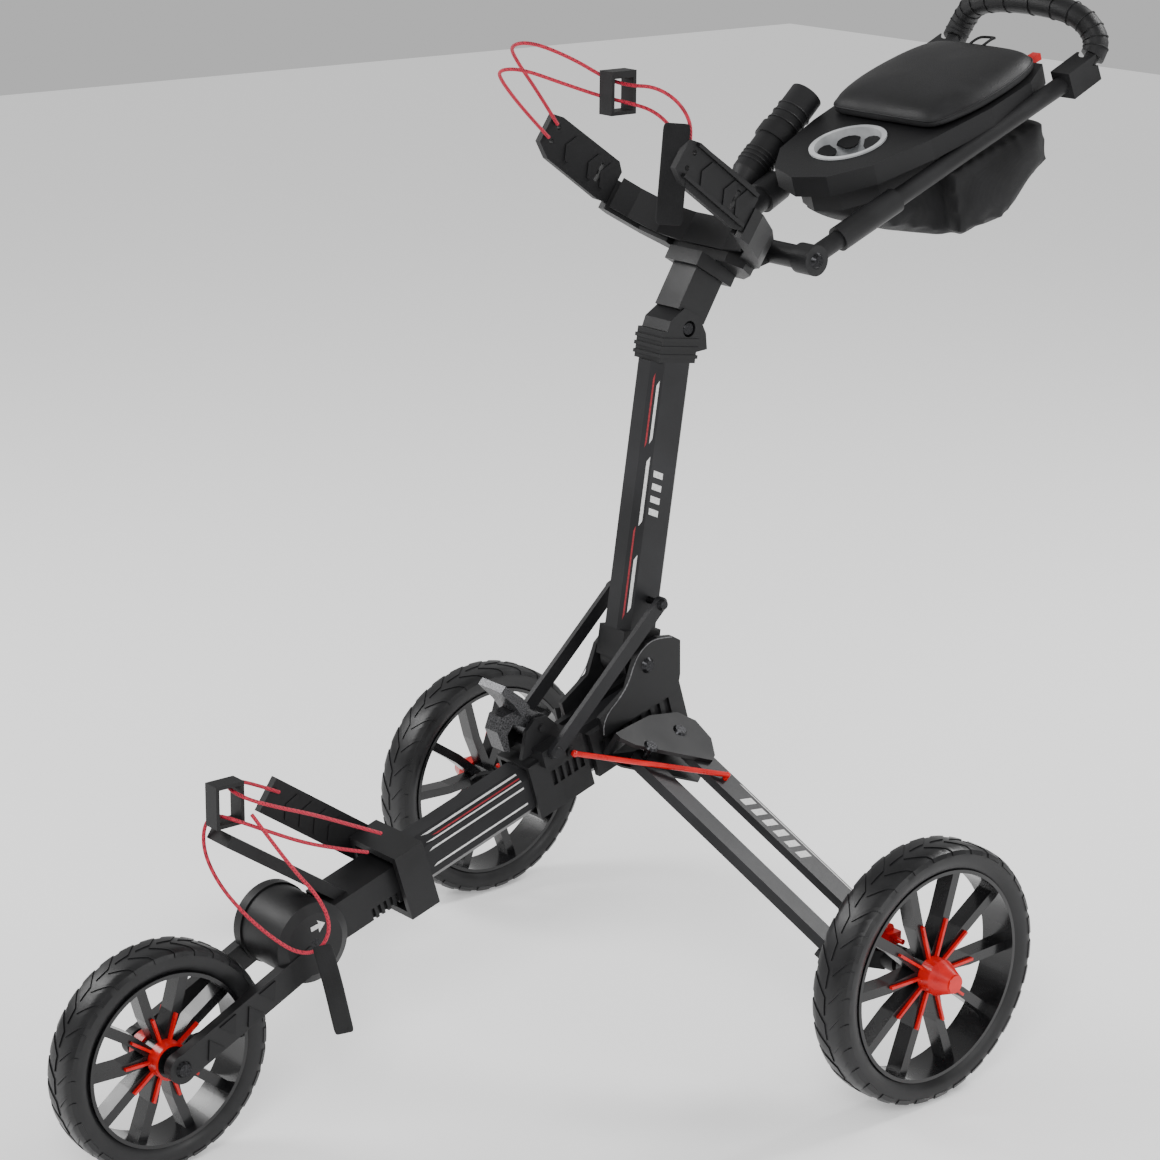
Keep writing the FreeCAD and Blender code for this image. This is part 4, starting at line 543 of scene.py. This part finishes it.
SEAM_SHARE = 0.985
seam = [console_place @ Vector((x * SEAM_SHARE / 1000,
                                (LID_MIDDLE + (y - LID_MIDDLE) * SEAM_SHARE) / 1000, 0.0285))
        for x, y in lid_outline]
model_piping("console_lid_piping", seam, 0.0013, leather, "lid")
model_piping("lid_pull_loop", [console_place @ Vector((x / 1000, y / 1000, z / 1000))
                               for x, y, z in ((-10, 312, 42), (-11, 330, 45), (-6, 343, 40),
                                               (6, 343, 40), (11, 330, 45), (10, 312, 42))],
             0.0016, soft_black, "lid", closed=False)

# ---- cup holder -------------------------------------------------------------------------
# Light grey liner with soft rubber petals that grip a bottle from all sides.
liner, nodes, links, shader = new_finish("pale_grey_liner")
cloud = noise_on(nodes, links, 40, 4)
two_tone(nodes, links, cloud.outputs["Fac"], (0.42, 0.43, 0.44), (0.60, 0.61, 0.62), shader)
relief(nodes, links, noise_on(nodes, links, 1500, 3).outputs["Fac"], 0.15, 0.0002, shader)
links.new(spread(nodes, links, cloud.outputs["Fac"], 0.35, 0.5), shader.inputs["Roughness"])
coat_cad(["cup_liner"], liner)
for number in range(6):
    bpy.ops.object.select_all(action="DESELECT")
    bpy.ops.mesh.primitive_circle_add(vertices=12, radius=1, fill_type="NGON")
    petal = bpy.context.object
    petal.name = f"cup_petal_{number}"
    turn = math.radians(60 * number + 15)
    for index, vertex in enumerate(petal.data.vertices):
        share = index / 12 * 2 * math.pi
        along = 29.0 + 9.7 * math.cos(share)
        across = (15.0 if math.cos(share) > 0 else 11.0) * math.sin(share)
        drop = 11.5 - 0.35 * (38.7 - along)
        vertex.co = ((along * math.cos(turn) - across * math.sin(turn)) / 1000,
                     (92 + along * math.sin(turn) + across * math.cos(turn)) / 1000, drop / 1000)
    wall = petal.modifiers.new("wall", "SOLIDIFY")
    wall.thickness = 0.0018
    bpy.ops.object.modifier_apply(modifier="wall")
    petal.data.transform(console_place)
    petal.data.materials.append(soft_black)
    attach(petal, "handle")

# ---- padded grip ------------------------------------------------------------------------
# Foam grip wrapped in leatherette: it runs round the loop in segments, each closed by a sewn
# band, with a seam along the inside.
grip_end = place(0, 491.8, 1039.8)
GRIP_BENDS = [(-0.1084, 0.011, 0.013), (-0.110, 0.024, 0.030), (-0.074, 0.014, 0.066),
              (0.074, 0.014, 0.066), (0.110, 0.024, 0.030), (0.1084, 0.011, 0.013)]
grip_route = [grip_end + Vector(bend) for bend in GRIP_BENDS]
grip = model_piping("wrapped_grip", grip_route, 0.0146, leather, "handle",
                    closed=False)
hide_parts("grip_cover")

# ---- storage pouch ----------------------------------------------------------------------
# Woven nylon pouch that hangs from the tray's rim and bellies out under its load.
weave, nodes, links, shader = new_finish("woven_nylon")
where = nodes.new("ShaderNodeTexCoord")
threads = []
for axis in ("X", "Y", "Z"):
    wave = nodes.new("ShaderNodeTexWave")
    wave.bands_direction = axis
    wave.inputs["Scale"].default_value = 260
    links.new(where.outputs["Object"], wave.inputs["Vector"])
    threads.append(wave.outputs["Fac"])
first = nodes.new("ShaderNodeMath")
first.operation = "MULTIPLY"
links.new(threads[0], first.inputs[0])
links.new(threads[1], first.inputs[1])
second = nodes.new("ShaderNodeMath")
second.operation = "MAXIMUM"
links.new(first.outputs["Value"], second.inputs[0])
links.new(threads[2], second.inputs[1])
cloud = noise_on(nodes, links, 18, 5)
two_tone(nodes, links, cloud.outputs["Fac"], (0.003, 0.003, 0.0035), (0.010, 0.010, 0.011), shader)
shader.inputs["Specular IOR Level"].default_value = 0.25
relief(nodes, links, second.outputs["Value"], 0.45, 0.0005, shader)
shader.inputs["Roughness"].default_value = 0.78
shader.inputs["Sheen Weight"].default_value = 0.08

BULGE = 0.006
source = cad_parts["storage_bag"]
pouch_mesh = source.data.copy()
pouch_mesh.materials.clear()
pouch = bpy.data.objects.new("pouch_shell", pouch_mesh)
bpy.context.scene.collection.objects.link(pouch)
bpy.ops.object.select_all(action="DESELECT")
pouch.select_set(True)
bpy.context.view_layer.objects.active = pouch
bpy.ops.object.mode_set(mode="EDIT")
bpy.ops.mesh.select_all(action="SELECT")
bpy.ops.mesh.remove_doubles(threshold=0.0001)
bpy.ops.object.mode_set(mode="OBJECT")
fine = pouch.modifiers.new("fine", "REMESH")
fine.mode = "VOXEL"
fine.voxel_size = 0.006
bpy.ops.object.modifier_apply(modifier="fine")
middle = sum((vertex.co for vertex in pouch.data.vertices), Vector()) / len(pouch.data.vertices)
start_places = []
for vertex in pouch.data.vertices:
    vertex.co = middle + (vertex.co - middle) * 0.965
    start_places.append(vertex.co.copy())
cloth = pouch.modifiers.new("cloth", "CLOTH")
cloth.settings.use_pressure = True
cloth.settings.uniform_pressure_force = 4
cloth.settings.effector_weights.gravity = 0
for number in range(1, 21):
    bpy.context.scene.frame_set(number)
bpy.ops.object.modifier_apply(modifier="cloth")
bpy.context.scene.frame_set(1)
for vertex, was in zip(pouch.data.vertices, start_places):
    moved = vertex.co - was
    if moved.length > BULGE:
        vertex.co = was + moved.normalized() * BULGE
rounding = pouch.modifiers.new("rounding", "SUBSURF")
rounding.levels = 1
rounding.render_levels = 1
bpy.ops.object.modifier_apply(modifier="rounding")
bpy.ops.object.shade_smooth()
pouch.data.materials.append(weave)
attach(pouch, "handle")
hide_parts("storage_bag")


# ---- pull straps ------------------------------------------------------------------------
# Black webbing, 30 mm wide at the cradle and 25 mm at the fork, that hangs from the bungees'
# ends.
def model_strap(name, spine, half_width, carrier):
    """A webbing strap 1.6 mm thick along a spine of points, each with its width's direction."""
    bpy.ops.object.select_all(action="DESELECT")
    bpy.ops.mesh.primitive_grid_add(x_subdivisions=4, y_subdivisions=len(spine) - 1, size=2)
    strap = bpy.context.object
    strap.name = name
    for vertex in strap.data.vertices:
        row = round((vertex.co.y + 1) / 2 * (len(spine) - 1))
        point, across = spine[row]
        vertex.co = point + across.normalized() * half_width * vertex.co.x
    wall = strap.modifiers.new("wall", "SOLIDIFY")
    wall.thickness = 0.0016
    wall.offset = 0
    bpy.ops.object.modifier_apply(modifier="wall")
    rounding = strap.modifiers.new("rounding", "SUBSURF")
    rounding.levels = 2
    rounding.render_levels = 2
    bpy.ops.object.modifier_apply(modifier="rounding")
    bpy.ops.object.shade_smooth_by_angle(angle=math.radians(50))
    strap.data.materials.append(weave)
    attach(strap, carrier)
    return strap


upper_across = Vector((0.86, 0.50, 0.0))
upper_spine = [(place(100 + 0.3 * i, -127 - 1.2 * i, 1030 - 10.5 * i), upper_across)
               for i in range(11)]
upper_strap = model_strap("upper_pull_strap", upper_spine, 0.015, "post")
lower_across = Vector((0.0, 1.0, -0.1))
lower_spine = [(place(79 + 1.4 * math.sin(i / 2), -572 + 3.2 * i, 228 - 12.0 * i), lower_across)
               for i in range(10)]
lower_strap = model_strap("lower_pull_strap", lower_spine, 0.0125, "chassis")


# ---- paddle and fork relief -------------------------------------------------------------
# Moulded relief: chevrons on the bag paddles, and slanted pockets with raised lands between
# them along the fork arms.
tilt = math.radians(34.5)
cradle_forward = Vector((0, -math.cos(tilt), math.sin(tilt)))
cradle_up = Vector((0, math.sin(tilt), math.cos(tilt)))
CHEVRON = [(0, 16), (8, 31), (0, 46), (6, 46), (14, 31), (6, 16)]
CHEVRON_HIGH = 0.0014
for side, word in ((1, "right"), (-1, "left")):
    for face, outward in ((0.114, 1), (0.106, -1)):
        for number in range(3):
            start = 0.082 + 0.021 * number + (0.018 if number == 2 else 0)
            corners = [place(0, 6, 866) + Vector((side * face, 0, 0))
                       + cradle_forward * (start + w / 1000) + cradle_up * v / 1000
                       for w, v in CHEVRON]
            model_film(f"chevron_{word}_{'outer' if outward > 0 else 'inner'}_{number}", corners,
                       Vector((side * outward, 0, 0)), soft_black, "post", CHEVRON_HIGH)
arm_root = place(-46.2, -424, 262)
for number in range(4):
    start = 0.050 + 0.022 * number
    corners = [arm_root + Vector((0.0045, 0, 0)) + cradle_forward * (start + w / 1000)
               + cradle_up * (v - 31) / 1000 for w, v in CHEVRON]
    model_film(f"lower_chevron_{number}", corners, Vector((1, 0, 0)), soft_black, "chassis",
               CHEVRON_HIGH)
fork_from = place(0, -556, 199)
fork_along = (place(0, -720, 121) - fork_from).normalized()
fork_up = Vector((0, -fork_along.z, fork_along.y))
if fork_up.z < 0:
    fork_up = -fork_up
for side, word in ((1, "right"), (-1, "left")):
    for number in range(4):
        low = 0.052 + 0.027 * number
        rise = 0.0115 if number % 2 else -0.0115
        corners = [fork_from + Vector((side * 0.0463, 0, 0)) + fork_along * along + fork_up * up
                   for along, up in ((low, -rise), (low + 0.022, -rise),
                                     (low + 0.011, rise * 0.7))]
        model_film(f"fork_land_{word}_{number}", corners, Vector((side, 0, 0)), soft_black, "fork",
                   0.0016)
disc = place(45.3, -556, 213)
ARROW = [(-6, 20), (4, 22), (2, 26), (12, 21), (5, 12), (4, 17), (-5, 15)]
model_film("fold_arrow", [disc + Vector((0, y / 1000, z / 1000)) for y, z in ARROW],
           Vector((1, 0, 0)), white_ink, "fork", 0.0003)

# ---- painted highlight on the edges of the side plates ----------------------------------
# The plates' outer edges carry a thin paler grey line: a painted highlight where the edge catches
# the light.
plate_highlight, nodes, links, shader = new_finish("painted_edge_highlight")
grain = noise_on(nodes, links, 300, 5)
# The pale grey tones of this line are painted highlight, not the plastic's own colour.
two_tone(nodes, links, grain.outputs["Fac"], (0.05, 0.05, 0.053), (0.16, 0.16, 0.165), shader)
links.new(spread(nodes, links, grain.outputs["Fac"], 0.3, 0.5), shader.inputs["Roughness"])
PLATE_EDGE = [(-160, 352), (-164, 370), (-128, 397), (-116, 431), (-100, 445), (-84, 449),
              (-63, 446)]
for side, word in ((1, "right"), (-1, "left")):
    model_piping(f"plate_edge_highlight_{word}", [place(side * 36.1, y, z) for y, z in PLATE_EDGE], 0.0007,
                 plate_highlight, "chassis", closed=False)

# ---- umbrella holder rings --------------------------------------------------------------
# Finger rings moulded round the holder's tube.
RING_RADIUS = 0.0212
holder_low = place(-118, 178, 918)
holder_along = (place(-118, 268, 1002) - holder_low).normalized()
holder_side = holder_along.cross(Vector((1, 0, 0))).normalized()
for number in range(7):
    spot = holder_low + holder_along * (0.012 + 0.0055 * number)
    if number > 3:
        spot = holder_low + holder_along * (0.074 + 0.011 * (number - 4))
    ring = [spot + (Vector((1, 0, 0)) * math.cos(k * math.pi / 6) * RING_RADIUS
                    + holder_side * math.sin(k * math.pi / 6) * RING_RADIUS) for k in range(12)]
    model_piping(f"holder_ring_{number}", ring, 0.0010, nylon, "handle")

# ---- sewn bands of the grip -------------------------------------------------------------
# Flat bands that close the wrap, set square to the grip all along the loop.
BAND_RADIUS = 0.01525
centre_line = bpy.data.curves.new("grip_centre", "CURVE")
centre_line.dimensions = "3D"
centre_line.resolution_u = 12
line = centre_line.splines.new("NURBS")
line.points.add(len(grip_route) - 1)
for knot, spot in zip(line.points, grip_route):
    knot.co = (*spot, 1)
line.order_u = 3
line.use_endpoint_u = True
holder = bpy.data.objects.new("grip_centre", centre_line)
bpy.context.scene.collection.objects.link(holder)
bpy.context.view_layer.update()
traced = bpy.data.meshes.new_from_object(holder)
track = [vertex.co.copy() for vertex in traced.vertices]
bpy.data.objects.remove(holder)
for number in range(3, len(track) - 3, 4):
    heading = (track[number + 1] - track[number - 1]).normalized()
    first_side = heading.cross(Vector((0, 0.6, 0.8))).normalized()
    second_side = heading.cross(first_side).normalized()
    ring = [track[number] + (first_side * math.cos(k * math.pi / 6)
                             + second_side * math.sin(k * math.pi / 6)) * BAND_RADIUS
            for k in range(12)]
    model_piping(f"grip_band_{number}", ring, 0.0007, leather, "handle")

# ---- floor and lights -------------------------------------------------------------------
# A pale floor that glows a little, a white world and four large soft lamps.
bpy.ops.object.select_all(action="DESELECT")
bpy.ops.mesh.primitive_plane_add(size=14, location=(0, 0, -0.0005))
floor = bpy.context.object
floor.name = "studio_floor"
paper, nodes, links, shader = new_finish("studio_paper")
shader.inputs["Base Color"].default_value = (0.94, 0.94, 0.94, 1)
shader.inputs["Roughness"].default_value = 0.9
shader.inputs["Emission Color"].default_value = (1, 1, 1, 1)
shader.inputs["Emission Strength"].default_value = 0.32
floor.data.materials.append(paper)
world = bpy.data.worlds.new("studio")
world.use_nodes = True
world.node_tree.nodes["Background"].inputs["Color"].default_value = (1, 1, 1, 1)
world.node_tree.nodes["Background"].inputs["Strength"].default_value = 0.55
bpy.context.scene.world = world
LAMPS = [("key", (2.2, -2.4, 2.6), 70, 1.2), ("side", (-2.4, -1.6, 2.2), 55, 1.2),
         ("rim", (0.6, 2.8, 2.6), 75, 1.0), ("low", (2.8, 0.6, 0.9), 16, 1.0)]
for name, spot, power, size in LAMPS:
    lamp_data = bpy.data.lights.new(name, "AREA")
    lamp_data.energy = power
    lamp_data.size = size
    lamp = bpy.data.objects.new(name, lamp_data)
    bpy.context.scene.collection.objects.link(lamp)
    aim = (Vector((0, 0, 0.5)) - Vector(spot)).to_track_quat("-Z", "Y")
    lamp.matrix_world = Matrix.Translation(spot) @ aim.to_matrix().to_4x4()
